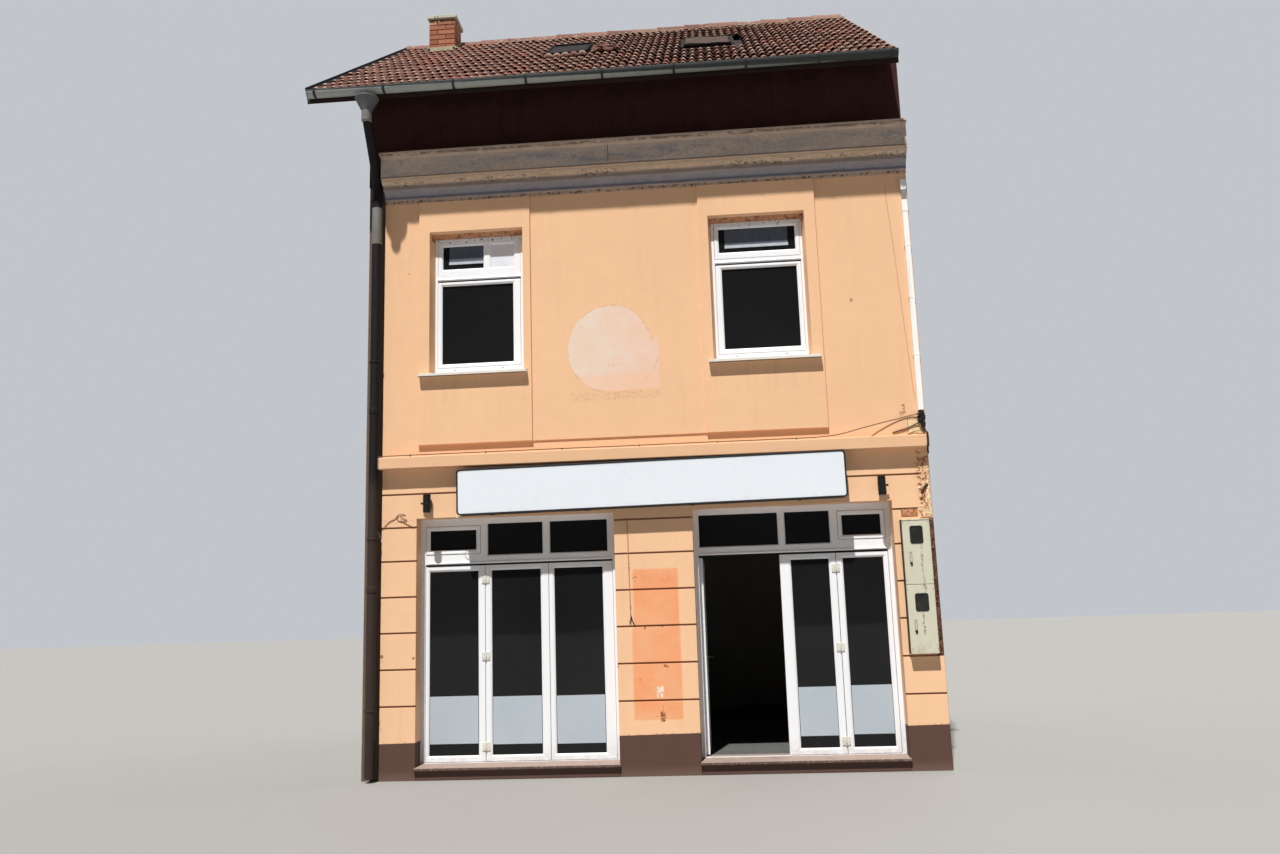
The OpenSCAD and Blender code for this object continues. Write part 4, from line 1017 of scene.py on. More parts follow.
def build_walls():
    loft_z("left_pier_face", groove_levels(0.0, 2.78), front_outline(-0.2, 0.396, True), MT["ground"], "left_pier", "peach_render")
    loft_z("middle_pier_face", groove_levels(0.0, 2.78), front_outline(2.585, 3.44), MT["ground"], "middle_pier", "peach_render")
    loft_z("right_pier_face", groove_levels(0.0, 2.78), front_outline(5.577, 6.0), MT["ground"], "right_pier", "peach_render")
    loft_z("lintel_face", groove_levels(2.78, 3.4), front_outline(-0.2, 6.0, True), MT["ground"], "shop_lintel", "peach_render")
    softened("upper_front_wall", MT["upper"], width=0.005)
    softened("upper_panel", MT["upper"], width=0.004)
    softened("front_attic_wall", MT["attic"], width=0.004)
    for n in ("left_party_wall", "right_party_wall"):
        paint(n, MT["party"])
    softened("rear_wall", MT["rear"], width=0.005)
    paint("ground_floor", MT["floor_tile"])
    paint("upper_floor", MT["boards"])
    paint("attic_floor", MT["boards"])

    # string course: weathered top, drip under the front edge
    rnd = random.Random(3)
    prof = [(0.0, 3.33), (-0.100, 3.33), (-0.102, 3.338), (-0.110, 3.338), (-0.112, 3.33), (-0.117, 3.331), (-0.120, 3.337), (-0.120, 3.452), (-0.117, 3.459), (-0.110, 3.462), (0.0, 3.470)]
    cuts = [-0.02 + 6.02 * i / 70 for i in range(1, 70)]
    sag = [rnd.uniform(-0.0014, 0.0014) for _ in range(90)]

    def wob(p, t, j):
        i = int((t + 0.03) * 11)
        return (p[0] + (sag[i] if p[0] < -0.05 else 0), p[1] + (sag[-i - 1] if p[0] < -0.05 and p[1] > 3.4 else 0))

    b = Bld()
    b.prism(prof, "x", -0.02, 6.0, cuts, wob)
    b.obj("string_course_band", MT["upper"], replaces=("string_course",), slot="peach_render")

    # cornice: curved mouldings between the CAD profile's corners
    def arc(cy, cz, r1, r2, a0, a1, n):
        return [(cy + r1 * math.cos(math.radians(a0 + (a1 - a0) * i / n)), cz + r2 * math.sin(math.radians(a0 + (a1 - a0) * i / n))) for i in range(n + 1)]

    p = [(0.0, 6.46), (-0.028, 6.46), (-0.030, 6.462), (-0.030, 6.498), (-0.032, 6.5), (-0.050, 6.5), (-0.052, 6.502)]
    p += arc(-0.118, 6.512, 0.064, 0.086, 0, 90, 7)[1:]
    p += [(-0.118, 6.600), (-0.118, 6.638)]
    p += arc(-0.118, 6.70, 0.078, 0.060, -90, -180, 7)[1:]
    p += [(-0.198, 6.700), (-0.218, 6.700), (-0.220, 6.702), (-0.220, 6.933)]
    p += arc(-0.262, 6.935, 0.042, 0.020, 0, 90, 4)
    p += [(-0.280, 6.957), (-0.298, 6.961), (-0.300, 6.963), (-0.300, 6.986), (-0.297, 6.990), (0.0, 6.996)]
    wave = [rnd.uniform(-0.0016, 0.0016) for _ in range(140)]

    def wob2(q, t, j):
        i = int((t + 0.2) * 9)
        k = (j * 7 + i) % 140
        return (q[0] + (wave[k] if q[0] < -0.02 else 0), q[1] + (wave[i] if q[0] < -0.02 else 0))

    b = Bld()
    b.prism(p, "x", 0.01, 6.0, [0.01 + 5.99 * i / 50 for i in range(1, 50)], wob2)
    b.obj("cornice_moulding", MT["cornice"], replaces=("cornice",), slot="cornice_paint")

    # crumbled render: a low torn crust with hollows and chips at the right edge
    rnd = random.Random(11)
    b = Bld()

    def seg_dist(x, z, ax, az, bx, bz):
        t = max(0.0, min(1.0, ((x - ax) * (bx - ax) + (z - az) * (bz - az)) / ((bx - ax) ** 2 + (bz - az) ** 2)))
        return math.hypot(x - ax - t * (bx - ax), z - az - t * (bz - az))

    for kind, x0, x1, z0, z1, hgt, cell in (("red", 5.658, 5.846, 2.590, 2.684, 0.009, 0.008), ("top", 5.870, 5.996, 2.585, 3.235, 0.012, 0.010), ("mid", 5.846, 5.996, 2.568, 2.690, 0.008, 0.009), ("side", 5.936, 5.9965, 1.18, 2.575, 0.009, 0.009)):
        nx, nz = max(4, int((x1 - x0) / cell)), max(6, int((z1 - z0) / cell))
        tear = [rnd.uniform(-1, 1) for _ in range(nz + 3)]
        tear = [(tear[j] + tear[j + 1] + tear[j + 2]) / 3 for j in range(nz + 1)]
        top, bot, tt = [], [], []
        patchy = [[rnd.random() for _ in range(nx // 2 + 3)] for _ in range(nz // 3 + 3)]
        for j in range(nz + 1):
            rt, rb = [], []
            for i in range(nx + 1):
                edge = min(i, nx - i, j, nz - j)
                ragged = rnd.random() * 0.55 + patchy[j // 3][i // 2] * 0.45
                x = x0 + (x1 - x0) * i / nx + (rnd.uniform(-0.003, 0.003) if edge else 0)
                if kind == "top" and i < nx * 0.6:
                    x += (0.036 * tear[j] + 0.006) * (1 - i / (nx * 0.6))
                z = z0 + (z1 - z0) * j / nz + rnd.uniform(-0.003, 0.003)
                if kind == "side":
                    v = 0.0 if ragged < 0.46 else 0.24 if ragged < 0.66 else 0.5 if ragged < 0.76 else 0.2
                    v = 1.0 if rnd.random() < 0.035 else v
                    g_ = 0.75 if 0.46 <= ragged < 0.70 else 0.0
                elif kind == "red":
                    v, g_ = (0.30, 1.0) if ragged > 0.30 else (0.12, 0.5)
                    if i < 2 or j < 1 or j > nz - 2:
                        v, g_ = 0.05, 0.3
                elif kind == "mid":
                    v = 0.85 if ragged > 0.62 else 0.5 if ragged > 0.30 else 0.2
                    g_ = 0.0
                else:
                    v = 0.08 if ragged < 0.26 else 0.24 if ragged < 0.40 else 0.5 if ragged < 0.64 else 0.95
                    if i > nx - 4:
                        v = max(v, 0.5 if rnd.random() < 0.6 else 0.95)
                    if z > 3.02:
                        v = v if rnd.random() < 0.55 else 0.5
                    g_ = 0.0
                    dd = seg_dist(x, z, 5.957, 2.925, 5.886, 2.826)
                    if dd < 0.020:
                        v = 0.0 if dd < 0.012 else 0.22
                hh = hgt * (0.15 if v < 0.15 else 0.45 if v < 0.3 else 0.75 + 0.25 * rnd.random())
                if edge == 0:
                    hh = -0.004
                elif edge == 1:
                    hh *= 0.5
                x = min(x, 5.9972)
                rt.append((x, -hh, z))
                rb.append((x, 0.012, z))
                tt.append((v, g_, 0.5))
            top.append(rt)
            bot.append(rb)
        b.grid_shell(top, bot, tt + tt)
    b.obj("crumbled_render", MT["crust"], slot="peach_render", smooth=40, tint=True)
    # a thin yellowed plate by the trunking's foot, with two fixing holes
    b = Bld()
    plate(b, (5.808, 5.948, 3.474, 3.648), [(5.832, 5.840, 3.628, 3.636), (5.820, 5.828, 3.552, 3.560)], -0.004, 0.001)
    b.obj("wall_patch_plate", simple("patch_plate", C(232, 206, 164), 0.8, 0.2, 0.0, 0.05, 7, 90, 0.0008, C(190, 150, 108), 0.4), slot="peach_render", bevel=0.0008)
    b = Bld()
    b.ring([5.8055, 5.9505, 3.4715, 3.6505], [5.8090, 5.9470, 3.4750, 3.6470], [("o", 0, 0.001), ("o", 0, -0.0046), ("g", 0, -0.0046), ("g", 0, 0.001)])
    b.obj("wall_patch_edge", MT["brown_wire"], slot="peach_render")


# ---------------------------------------------------------------- roof
def build_roof():
    rnd = random.Random(7)
    courses, length = 14, 0.40
    gauge = (SLOPE - 0.02 + 0.045) / courses
    cols = 33
    tx0 = -0.668
    w = (ROOF_X1 - tx0 - 0.008) / cols
    seg = 16
    for rear in (False, True):
        b = Bld()
        shift = [[rnd.uniform(-0.012, 0.012) for _ in range(cols)] for _ in range(courses)]
        for c in range(courses):
            s0 = -0.045 + c * gauge
            row_dx = rnd.uniform(-0.004, 0.004)
            for k in range(cols):
                x0 = tx0 + k * w
                s1 = min(s0 + length, SLOPE - 0.005)
                if s1 - s0 < 0.06:
                    continue
                if not rear:
                    y0, y1 = EAVE_Y + (s0 + 0.05) * CP, EAVE_Y + (s1 - 0.12) * CP
                    xc = x0 + w / 2
                    if -0.32 < xc < 0.19 and y1 > 2.56 and y0 < 3.10:
                        continue
                    if (1.68 < xc < 2.38 or 3.47 < xc < 4.23) and y1 > 0.86 and y0 < 1.74:
                        continue
                ds0 = shift[c][k] if c else shift[c][k] * 0.4
                jx, jl, jr = rnd.uniform(-0.003, 0.003), rnd.uniform(-0.003, 0.007), rnd.uniform(-0.006, 0.006)
                slip = rnd.uniform(-0.020, 0.0) if rnd.random() < 0.06 else 0.0
                t1, t2 = rnd.random(), rnd.random()
                top, bot, tint = [], [], []
                end = s1 - s0
                # each row's third value sets how pale it is: a painted highlight at the nose, falling to weathering and
                # painted shade at the head
                rows = [(0.0, -0.006, 1.0), (0.010, 0.0, 1.0), (0.055, 0.001, 0.80), (min(0.135, end * 0.5), 0.0, 0.34), (end, 0.0, 0.20)]
                for si, (ds, dh, nose) in enumerate(rows):
                    rt, rb = [], []
                    for i in range(seg + 1):
                        u = (2.0 * i / seg) % 1.0 if i < seg else 1.0
                        hump = math.sin(math.pi * min(1, max(0, (u - 0.13) / 0.74))) ** 0.85 if 0.13 < u < 0.87 else 0.0
                        lift = (0.040 + jl) * (1 - ds / length) + jr * (i / seg - 0.5)
                        h = -0.042 + 0.036 * hump + lift + dh
                        x = x0 + jx + row_dx + (w - 0.003) * i / seg
                        s_ = s0 + ds0 + slip + ds - (0.010 * hump if ds < 0.02 else 0.0)
                        if ds == end:
                            s_ = s0 + ds
                        rt.append(slope_pt(x, s_, h, rear))
                        rb.append(slope_pt(x, s_ + (0.003 if si == 0 else 0), h - 0.013 - (0 if si else -0.005), rear))
                        tint.append((t1, t2, max(0.03, (0.25 + 0.75 * hump) * nose) if hump > 0 else 0.10 * nose))
                    top.append(rt)
                    bot.append(rb)
                # the undersides take the darkest tint: painted shade
                dark = [(t1, t2, 0.0)] * (len(tint) - seg - 1)
                b.grid_shell(top, bot, tint + tint[:seg + 1] + dark)
        b.obj("rear_roof_tiles" if rear else "front_roof_tiles", MT["tile"], slot="clay_tile", smooth=50, tint=True)

        # deck of boards below the tiles, in the CAD slab's place
        d = Bld()
        rv = 0.14 / CP
        poly = [(EAVE_Y, EAVE_Z - rv), (EAVE_Y, EAVE_Z - 0.075), (RIDGE_Y, RIDGE_Z - 0.075), (RIDGE_Y, RIDGE_Z - rv)]
        if rear:
            poly = [(2 * RIDGE_Y - y, z) for y, z in poly]
        d.prism(poly, "x", ROOF_X0, ROOF_X1)
        n = 6
        for i in range(n):
            s0, s1 = 0.004 + i * 0.118, 0.004 + i * 0.118 + 0.112
            pts = [slope_pt(0, s, h, rear)[1:] for s, h in ((s0, -0.139), (s1, -0.139), (s1, -0.150), (s0, -0.150))]
            d.prism(pts, "x", ROOF_X0 + 0.002, ROOF_X1 - 0.002)
        # eaves fascia
        y = EAVE_Y - 0.004
        fas = [(y, 7.50), (y + 0.022, 7.50), (y + 0.022, 7.628), (y, 7.628)]
        if rear:
            fas = [(2 * RIDGE_Y - a, c_) for a, c_ in fas]
        d.prism(fas, "x", ROOF_X0, ROOF_X1)
        d.obj("rear_roof_deck" if rear else "front_roof_deck", MT["soffit"], replaces=("rear_roof" if rear else "front_roof",), slot="clay_tile")

    # ridge: lapped half-round tiles on mortar, laid unevenly
    b = Bld()
    mb = Bld()
    pitch_len = 0.385
    n = int(math.ceil((ROOF_X1 - ROOF_X0) / pitch_len))
    zc = RIDGE_Z + 0.0005 - 0.12 * TP
    for k in range(n):
        xa = ROOF_X0 + k * pitch_len + rnd.uniform(-0.012, 0.012) * (k > 0)
        xb = min(xa + 0.420, ROOF_X1 + 0.003)
        if xb - xa < 0.08:
            continue
        tl, dz, tilt, t1, t2 = rnd.uniform(-0.008, 0.008), rnd.uniform(-0.010, 0.001), rnd.uniform(-0.010, 0.006), rnd.random(), rnd.random()
        top, bot = [], []
        for xi, grow_ in ((xa, 0.004), (xa + 0.012, 0.009), (xa + 0.05, 0.009), (xa + 0.06, 0.003), (xb, -0.002)):
            rt, rb = [], []
            zz = zc + dz + tilt * (xi - xa) / max(0.1, xb - xa)
            for i in range(15):
                a = math.radians(4 + 172 * i / 14)
                rt.append((xi, RIDGE_Y + tl + (0.112 + grow_) * math.cos(a), zz + (0.124 + grow_) * math.sin(a)))
                rb.append((xi, RIDGE_Y + tl + (0.099 + grow_ * 0.5) * math.cos(a), zz + (0.110 + grow_ * 0.5) * math.sin(a) - 0.002))
            top.append(rt)
            bot.append(rb)
        b.grid_shell(top, bot, (t1, t2, 0.5))
    b.obj("ridge_tile_row", MT["ridge"], replaces=("ridge_tiles",), slot="clay_tile", smooth=50, tint=True)
    for side in (-1, 1):
        top, bot = [], []
        m = 150
        for i in range(m + 1):
            x = ROOF_X0 + 0.004 + (ROOF_X1 - ROOF_X0 - 0.008) * i / m
            ws = 0.012 + rnd.uniform(-0.008, 0.012)
            y0 = 0.098
            rt = [(x, RIDGE_Y + side * y0, zc + 0.044), (x, RIDGE_Y + side * (y0 + 0.010), zc + 0.028 + rnd.uniform(-0.006, 0.006)), (x, RIDGE_Y + side * (y0 + 0.016 + ws), zc - 0.014 - ws * 0.6)]
            rb = [(x, RIDGE_Y + side * (y0 - 0.03), zc + 0.02), (x, RIDGE_Y + side * (y0 - 0.02), zc - 0.03), (x, RIDGE_Y + side * (y0 + 0.01 + ws), zc - 0.045 - ws * 0.6)]
            top.append(rt)
            bot.append(rb)
        mb.grid_shell(top, bot, (0.5, 0.5, 0.5))
    mb.obj("ridge_mortar", MT["mortar"], slot="cap_mortar", smooth=50)

    # right verge bedded in mortar, under the end tiles
    b = Bld()
    for rear in (False, True):
        top, bot = [], []
        m = 90
        for i in range(m + 1):
            s = -0.02 + (SLOPE - 0.01) * i / m
            o = rnd.uniform(-0.004, 0.004)
            top.append([slope_pt(ROOF_X1 - 0.045, s, -0.014 + o, rear), slope_pt(ROOF_X1 + 0.002, s, -0.002 + o, rear)])
            bot.append([slope_pt(ROOF_X1 - 0.045, s, -0.07, rear), slope_pt(ROOF_X1 + 0.004 + o * 0.5, s, -0.075, rear)])
        b.grid_shell(top, bot, (0.5, 0.5, 0.5))
    b.obj("right_verge_mortar", MT["mortar"], slot="cap_mortar", smooth=40)

    # left verge: wide folded sheet with a raised outer rim and lapped joints
    for rear in (False, True):
        b, rim = Bld(), Bld()
        xa, xb = -0.755, -0.655
        for i in range(3):
            s0, s1 = -0.004 + i * SLOPE / 3, min((i + 1) * SLOPE / 3 + 0.04, SLOPE - 0.004)
            e = 0.0012 * i
            prof = [(xa - e, -0.150), (xa + 0.004 - e, -0.156), (xa + 0.009, -0.150), (xa + 0.009, -0.030), (xb, -0.030), (xb + 0.002, 0.008 + e), (xa + 0.022, 0.011 + e), (xa + 0.018, 0.022 + e), (xa + 0.014, 0.0265 + e), (xa + 0.003, 0.0265 + e), (xa - e, 0.0225)]
            v = [slope_pt(x, s, h, rear) for s in (s0, s1) for x, h in prof]
            m = len(prof)
            f = [tuple(range(m)), tuple(range(2 * m - 1, m - 1, -1))] + [(j, (j + 1) % m, m + (j + 1) % m, m + j) for j in range(m)]
            b.add(v, f)
            prof = [(xa + 0.002, 0.0262 + e), (xa + 0.015, 0.0262 + e), (xa + 0.014, 0.0285 + e), (xa + 0.003, 0.0285 + e)]
            v = [slope_pt(x, s, h, rear) for s in (s0, s1) for x, h in prof]
            rim.add(v, [(0, 1, 2, 3), (7, 6, 5, 4), (0, 1, 5, 4), (1, 2, 6, 5), (2, 3, 7, 6), (3, 0, 4, 7)])
        b.obj("rear_verge_sheet" if rear else "front_verge_sheet", MT["verge"], replaces=("rear_verge" if rear else "front_verge",), slot="verge_metal")
        rim.obj("rear_verge_rim" if rear else "front_verge_rim", MT["verge_rim"], slot="verge_metal")

    # gutters
    gx0, gx1 = -0.696, 5.886
    for rear in (False, True):
        b = Bld()
        yc, zc = EAVE_Y - 0.065, 7.59
        R0, R1 = 0.065, 0.0605
        arcs = [math.radians(180 + 180 * i / 20) for i in range(21)]
        prof = [(yc + R0 * math.cos(a), zc + R0 * math.sin(a)) for a in arcs] + [(yc + R1 * math.cos(a), zc + R1 * math.sin(a)) for a in reversed(arcs)]
        my = (lambda p: (2 * RIDGE_Y - p[0], p[1])) if rear else (lambda p: p)
        b.prism([my(p) for p in prof], "x", gx0, gx1)
        cap = [(yc + (R0 + 0.002) * math.cos(a), zc + (R0 + 0.002) * math.sin(a)) for a in arcs]
        for xa, xb in ((gx0 - 0.004, gx0 + 0.003), (gx1 - 0.003, gx1 + 0.004)):
            b.prism([my(p) for p in cap], "x", xa, xb)
        bead_ = [(yc - R0 + 0.007 + 0.008 * math.cos(math.radians(36 * i)), zc + 0.002 + 0.008 * math.sin(math.radians(36 * i))) for i in range(10)]
        b.prism([my(p) for p in bead_], "x", gx0 - 0.002, gx1 + 0.002)
        for xu in (1.30, 3.06, 4.66):
            band = [(yc + 0.0675 * math.cos(a), zc + 0.0675 * math.sin(a)) for a in arcs] + [(yc + 0.064 * math.cos(a), zc + 0.064 * math.sin(a)) for a in reversed(arcs)]
            b.prism([my(p) for p in band], "x", xu - 0.016, xu + 0.016)
        b.obj("rear_gutter_run" if rear else "front_gutter_run", MT["gutter"], replaces=("rear_gutter" if rear else "front_gutter",), slot="gutter_metal", smooth=40)
        b = Bld()
        for xb in (-0.604, 0.192, 0.989, 1.808, 2.66, 3.455, 4.246, 5.036, 5.82):
            a2 = [math.radians(176 + 186 * i / 16) for i in range(17)]
            strap = [(yc + 0.0705 * math.cos(a), zc + 0.0705 * math.sin(a)) for a in a2] + [(yc + 0.0662 * math.cos(a), zc + 0.0662 * math.sin(a)) for a in reversed(a2)]
            b.prism([my(p) for p in strap], "x", xb - 0.0135, xb + 0.0135)
            top = [(yc - 0.0705, zc + 0.004), (yc - 0.0705, zc + 0.013), (yc - 0.058, zc + 0.015), (yc - 0.052, zc + 0.011), (yc - 0.060, zc + 0.010), (yc - 0.0662, zc + 0.004)]
            b.prism([my(p) for p in top], "x", xb - 0.0135, xb + 0.0135)
            b.prism([my(p) for p in ((yc + 0.0655, zc - 0.03), (yc + 0.0705, zc - 0.03), (yc + 0.0705, zc + 0.034), (yc + 0.0655, zc + 0.034))], "x", xb - 0.0135, xb + 0.0135)
        b.obj("rear_gutter_brackets" if rear else "front_gutter_brackets", MT["charcoal"], slot="gutter_metal")

    # roof windows: raised frame, matt pane, apron and side flashings; the right one is shut by a lid
    fr, gl, fl, lid = Bld(), Bld(), Bld(), Bld()
    tl = Bld()
    for n_, (x0, x1) in enumerate(((1.760, 2.305), (3.545, 4.150))):
        sa, sb = (0.90 - EAVE_Y) / CP, (1.70 - EAVE_Y) / CP
        hk = 1.0 if n_ == 0 else 0.45

        def blk(B_, xa, xb, s0, s1, h0, h1, c=0.0):
            v = [slope_pt(x, s, h) for x in (xa, xb) for s in (s0, s1) for h in (h0, h1)]
            B_.add(v, [(0, 1, 3, 2), (4, 6, 7, 5), (0, 4, 5, 1), (2, 3, 7, 6), (0, 2, 6, 4), (1, 5, 7, 3)])

        blk(fr, x0, x0 + 0.026, sa, sb, -0.06, 0.050 * hk)
        blk(fr, x1 - 0.026, x1, sa, sb, -0.06, 0.050 * hk)
        blk(fr, x0 + 0.026, x1 - 0.026, sa, sa + 0.035, -0.06, 0.046 * hk)
        blk(fr, x0 + 0.026, x1 - 0.026, sb - 0.06, sb, -0.06, 0.054 * hk)
        blk(fr, x0 + 0.012, x1 - 0.012, sb - 0.08, sb + 0.008, 0.050 * hk, 0.0575 * hk)
        if n_ == 0:
            blk(gl, x0 + 0.022, x1 - 0.022, sa + 0.030, sb - 0.055, 0.010, 0.040)
        else:
            # lid of weathered sheet with a rolled lower edge, warped a little
            top, bot = [], []
            for j in range(9):
                rt, rb = [], []
                for i in range(13):
                    x = x0 + 0.020 + (x1 - x0 - 0.040) * i / 12
                    s = sa + 0.02 + (sb - sa - 0.09) * j / 8
                    hh = 0.030 - 0.012 * i / 12 + 0.004 * math.sin(i * 0.9 + j * 1.3) + rnd.uniform(-0.0015, 0.0015) + (0.006 if j == 0 else 0)
                    rt.append(slope_pt(x, s, hh))
                    rb.append(slope_pt(x, s, hh - 0.012 - (0.016 if j == 0 else 0)))
                top.append(rt)
                bot.append(rb)
            lid.grid_shell(top, bot, (0.5, 0.5, 0.5))
        # flashings, stepped out over the tiles
        blk(fl, x0 - 0.040, x1 + 0.040, sa - 0.10, sa + 0.01, -0.030, -0.020)
        blk(fl, x0 - 0.040, x0 + 0.004, sa - 0.02, sb + 0.05, -0.034, 0.002)
        blk(fl, x1 - 0.004, x1 + 0.040, sa - 0.02, sb + 0.05, -0.034, 0.002)
        blk(fl, x0 - 0.040, x1 + 0.040, sb - 0.005, sb + 0.07, -0.034, 0.002)
        # the row of nose tiles propped up in front of the left pane, solid at their ends
        m = 5 if n_ == 0 else 0
        for i in range(m):
            xc = x0 + 0.005 + (x1 - x0) * (i + 0.5) / m
            top, bot = [], []
            hh = rnd.uniform(0.0, 0.012)
            t1, t2 = rnd.random(), rnd.random()
            for ds, dh, wd in ((0.0, -0.012, 0.84), (0.010, 0.000, 1.0), (0.060, 0.000, 1.0), (0.15, -0.020, 1.0)):
                rt, rb = [], []
                for k in range(9):
                    a = math.radians(180 * k / 8)
                    rt.append(slope_pt(xc + 0.050 * wd * math.cos(a), sa - 0.150 + ds, hh + dh + 0.012 + 0.036 * wd * math.sin(a)))
                    rb.append(slope_pt(xc + 0.049 * wd * math.cos(a), sa - 0.148 + ds, hh + dh + 0.000 + 0.018 * math.sin(a)))
                top.append(rt)
                bot.append(rb)
            tl.grid_shell(top, bot, (t1, t2, 0.95))
    # loose tiles left lying beside the left window
    s_mid = (1.05 - EAVE_Y) / CP
    for xc, sc, hc, rot in ((2.43, s_mid - 0.02, 0.024, 0.35), (2.50, s_mid + 0.10, 0.044, -0.3), (2.56, s_mid - 0.04, 0.020, 0.9), (2.47, s_mid + 0.26, 0.028, 1.2)):
        top, bot = [], []
        for ds in (-0.13, -0.118, 0.12):
            rt, rb = [], []
            for k in range(9):
                a = math.radians(180 * k / 8)
                u, v = 0.062 * math.cos(a), ds
                x, s = xc + u * math.cos(rot) - v * math.sin(rot), sc + u * math.sin(rot) + v * math.cos(rot)
                rt.append(slope_pt(x, s, hc + 0.034 * math.sin(a)))
                u2 = 0.056 * math.cos(a)
                x, s = xc + u2 * math.cos(rot) - v * math.sin(rot), sc + u2 * math.sin(rot) + v * math.cos(rot)
                rb.append(slope_pt(x, s, hc - 0.012 + 0.018 * math.sin(a)))
            top.append(rt)
            bot.append(rb)
        tl.grid_shell(top, bot, (0.1, 0.1, 0.45))
    fr.obj("roof_window_frames", MT["sky_frame"], replaces=("skylights",), slot="skylight_dark", bevel=0.003)
    gl.obj("roof_window_panes", MT["sky_glass"], slot="skylight_dark", bevel=0.002)
    lid.obj("roof_hatch_lid", MT["sky_lid"], slot="skylight_dark", smooth=30)
    fl.obj("roof_window_flashings", MT["flash"], slot="skylight_dark", bevel=0.002)
    tl.obj("loose_nose_tiles", MT["tile"], slot="clay_tile", smooth=50, tint=True)

    # chimney: real bricks round a mortar core
    b = Bld()
    core, fil = Bld(), Bld()
    x0, x1, y0, y1 = -0.256, 0.128, 2.64, 3.02
    z0, ch, bh = 9.90, 0.077, 0.066
    core.box(x0 + 0.007, x1 - 0.007, y0 + 0.007, y1 - 0.007, 9.80, 10.468, 0.002)
    z, c = 10.468 - ch, 0
    while z > 9.80:
        odd = c % 2
        tint = lambda: (rnd.random(), rnd.random(), 0.5)
        g = 0.0055
        # front and back faces
        cutx = [x0, x0 + (0.250 if odd else 0.126), x1]
        for ya, yb in ((y0, y0 + 0.10), (y1 - 0.10, y1)):
            for xa, xb in zip(cutx, cutx[1:]):
                o = rnd.uniform(-0.0015, 0.0015)
                b.box(xa + (g if xa > x0 else 0), xb - (g if xb < x1 else 0), ya + o * (ya == y0), yb + o * (yb == y1), z, z + bh, 0.0035, tint())
        # side faces
        cuty = [y0 + 0.10, y0 + (0.19 if odd else 0.28), y1 - 0.10] if not odd else [y0 + 0.10, y0 + 0.19, y1 - 0.10]
        for xa, xb in ((x0, x0 + 0.09), (x1 - 0.09, x1)):
            for ya, yb in zip(cuty, cuty[1:]):
                o = rnd.uniform(-0.0015, 0.0015)
                b.box(xa + o * (xa == x0), xb + o * (xb == x1), ya + g, yb - g, z, z + bh, 0.0035, tint())
        z -= ch
        c += 1
    b.obj("chimney_bricks", MT["brick"], replaces=("chimney",), slot="brick", tint=True)
    core.obj("chimney_mortar", MT["joint"], slot="cap_mortar", smooth=35)
    # small mortar fillet where the stack meets the tiles
    top, bot = [], []
    m = 34
    for i in range(m + 1):
        x = x0 - 0.022 + (x1 - x0 + 0.044) * i / m
        s = (y0 - EAVE_Y) / CP
        e = rnd.uniform(-0.010, 0.010)
        top.append([slope_pt(x, s - 0.050 + e, -0.010), slope_pt(x, s - 0.026, 0.018 + e * 0.3), slope_pt(x, s + 0.008, 0.046 + e * 0.4), slope_pt(x, s + 0.05, 0.046)])
        bot.append([slope_pt(x, s - 0.050 + e, -0.06), slope_pt(x, s - 0.026, -0.06), slope_pt(x, s + 0.008, -0.06), slope_pt(x, s + 0.05, -0.06)])
    fil.grid_shell(top, bot, (0.5, 0.5, 0.5))
    for xs, sgn in ((x0, -1), (x1, 1)):
        top, bot = [], []
        m = 30
        for i in range(m + 1):
            s = (y0 - 0.03 - EAVE_Y) / CP + (y1 - y0 + 0.04) / CP * i / m
            s = min(s, SLOPE - 0.06)
            e = rnd.uniform(-0.008, 0.008)
            top.append([slope_pt(xs - sgn * 0.02, s, 0.046), slope_pt(xs + sgn * 0.006, s, 0.042 + e * 0.4), slope_pt(xs + sgn * 0.016, s, 0.020 + e * 0.3), slope_pt(xs + sgn * (0.034 + e), s, -0.014)])
            bot.append([slope_pt(xs - sgn * 0.02, s, -0.06), slope_pt(xs + sgn * 0.006, s, -0.06), slope_pt(xs + sgn * 0.016, s, -0.06), slope_pt(xs + sgn * (0.034 + e), s, -0.06)])
        fil.grid_shell(top, bot, (0.5, 0.5, 0.5))
    fil.obj("chimney_fillet", MT["fillet"], slot="cap_mortar", smooth=35)
    # cap: cast slabs on a set-back bed, cracked through at the left third
    b = Bld()
    for xa, xb, dz in ((-0.282, -0.168, -0.003), (-0.160, -0.124, -0.005), (-0.110, 0.157, 0.0)):
        b.box(xa, xb, 2.61, 3.05, 10.478, 10.540 + dz, 0.009)
    b.obj("chimney_cap_slabs", MT["cap"], replaces=("chimney_cap",), slot="cap_mortar")
    b = Bld()
    b.box(-0.246, 0.118, 2.650, 3.010, 10.464, 10.4825, 0.003)
    b.obj("chimney_cap_bed", MT["joint"], slot="cap_mortar")


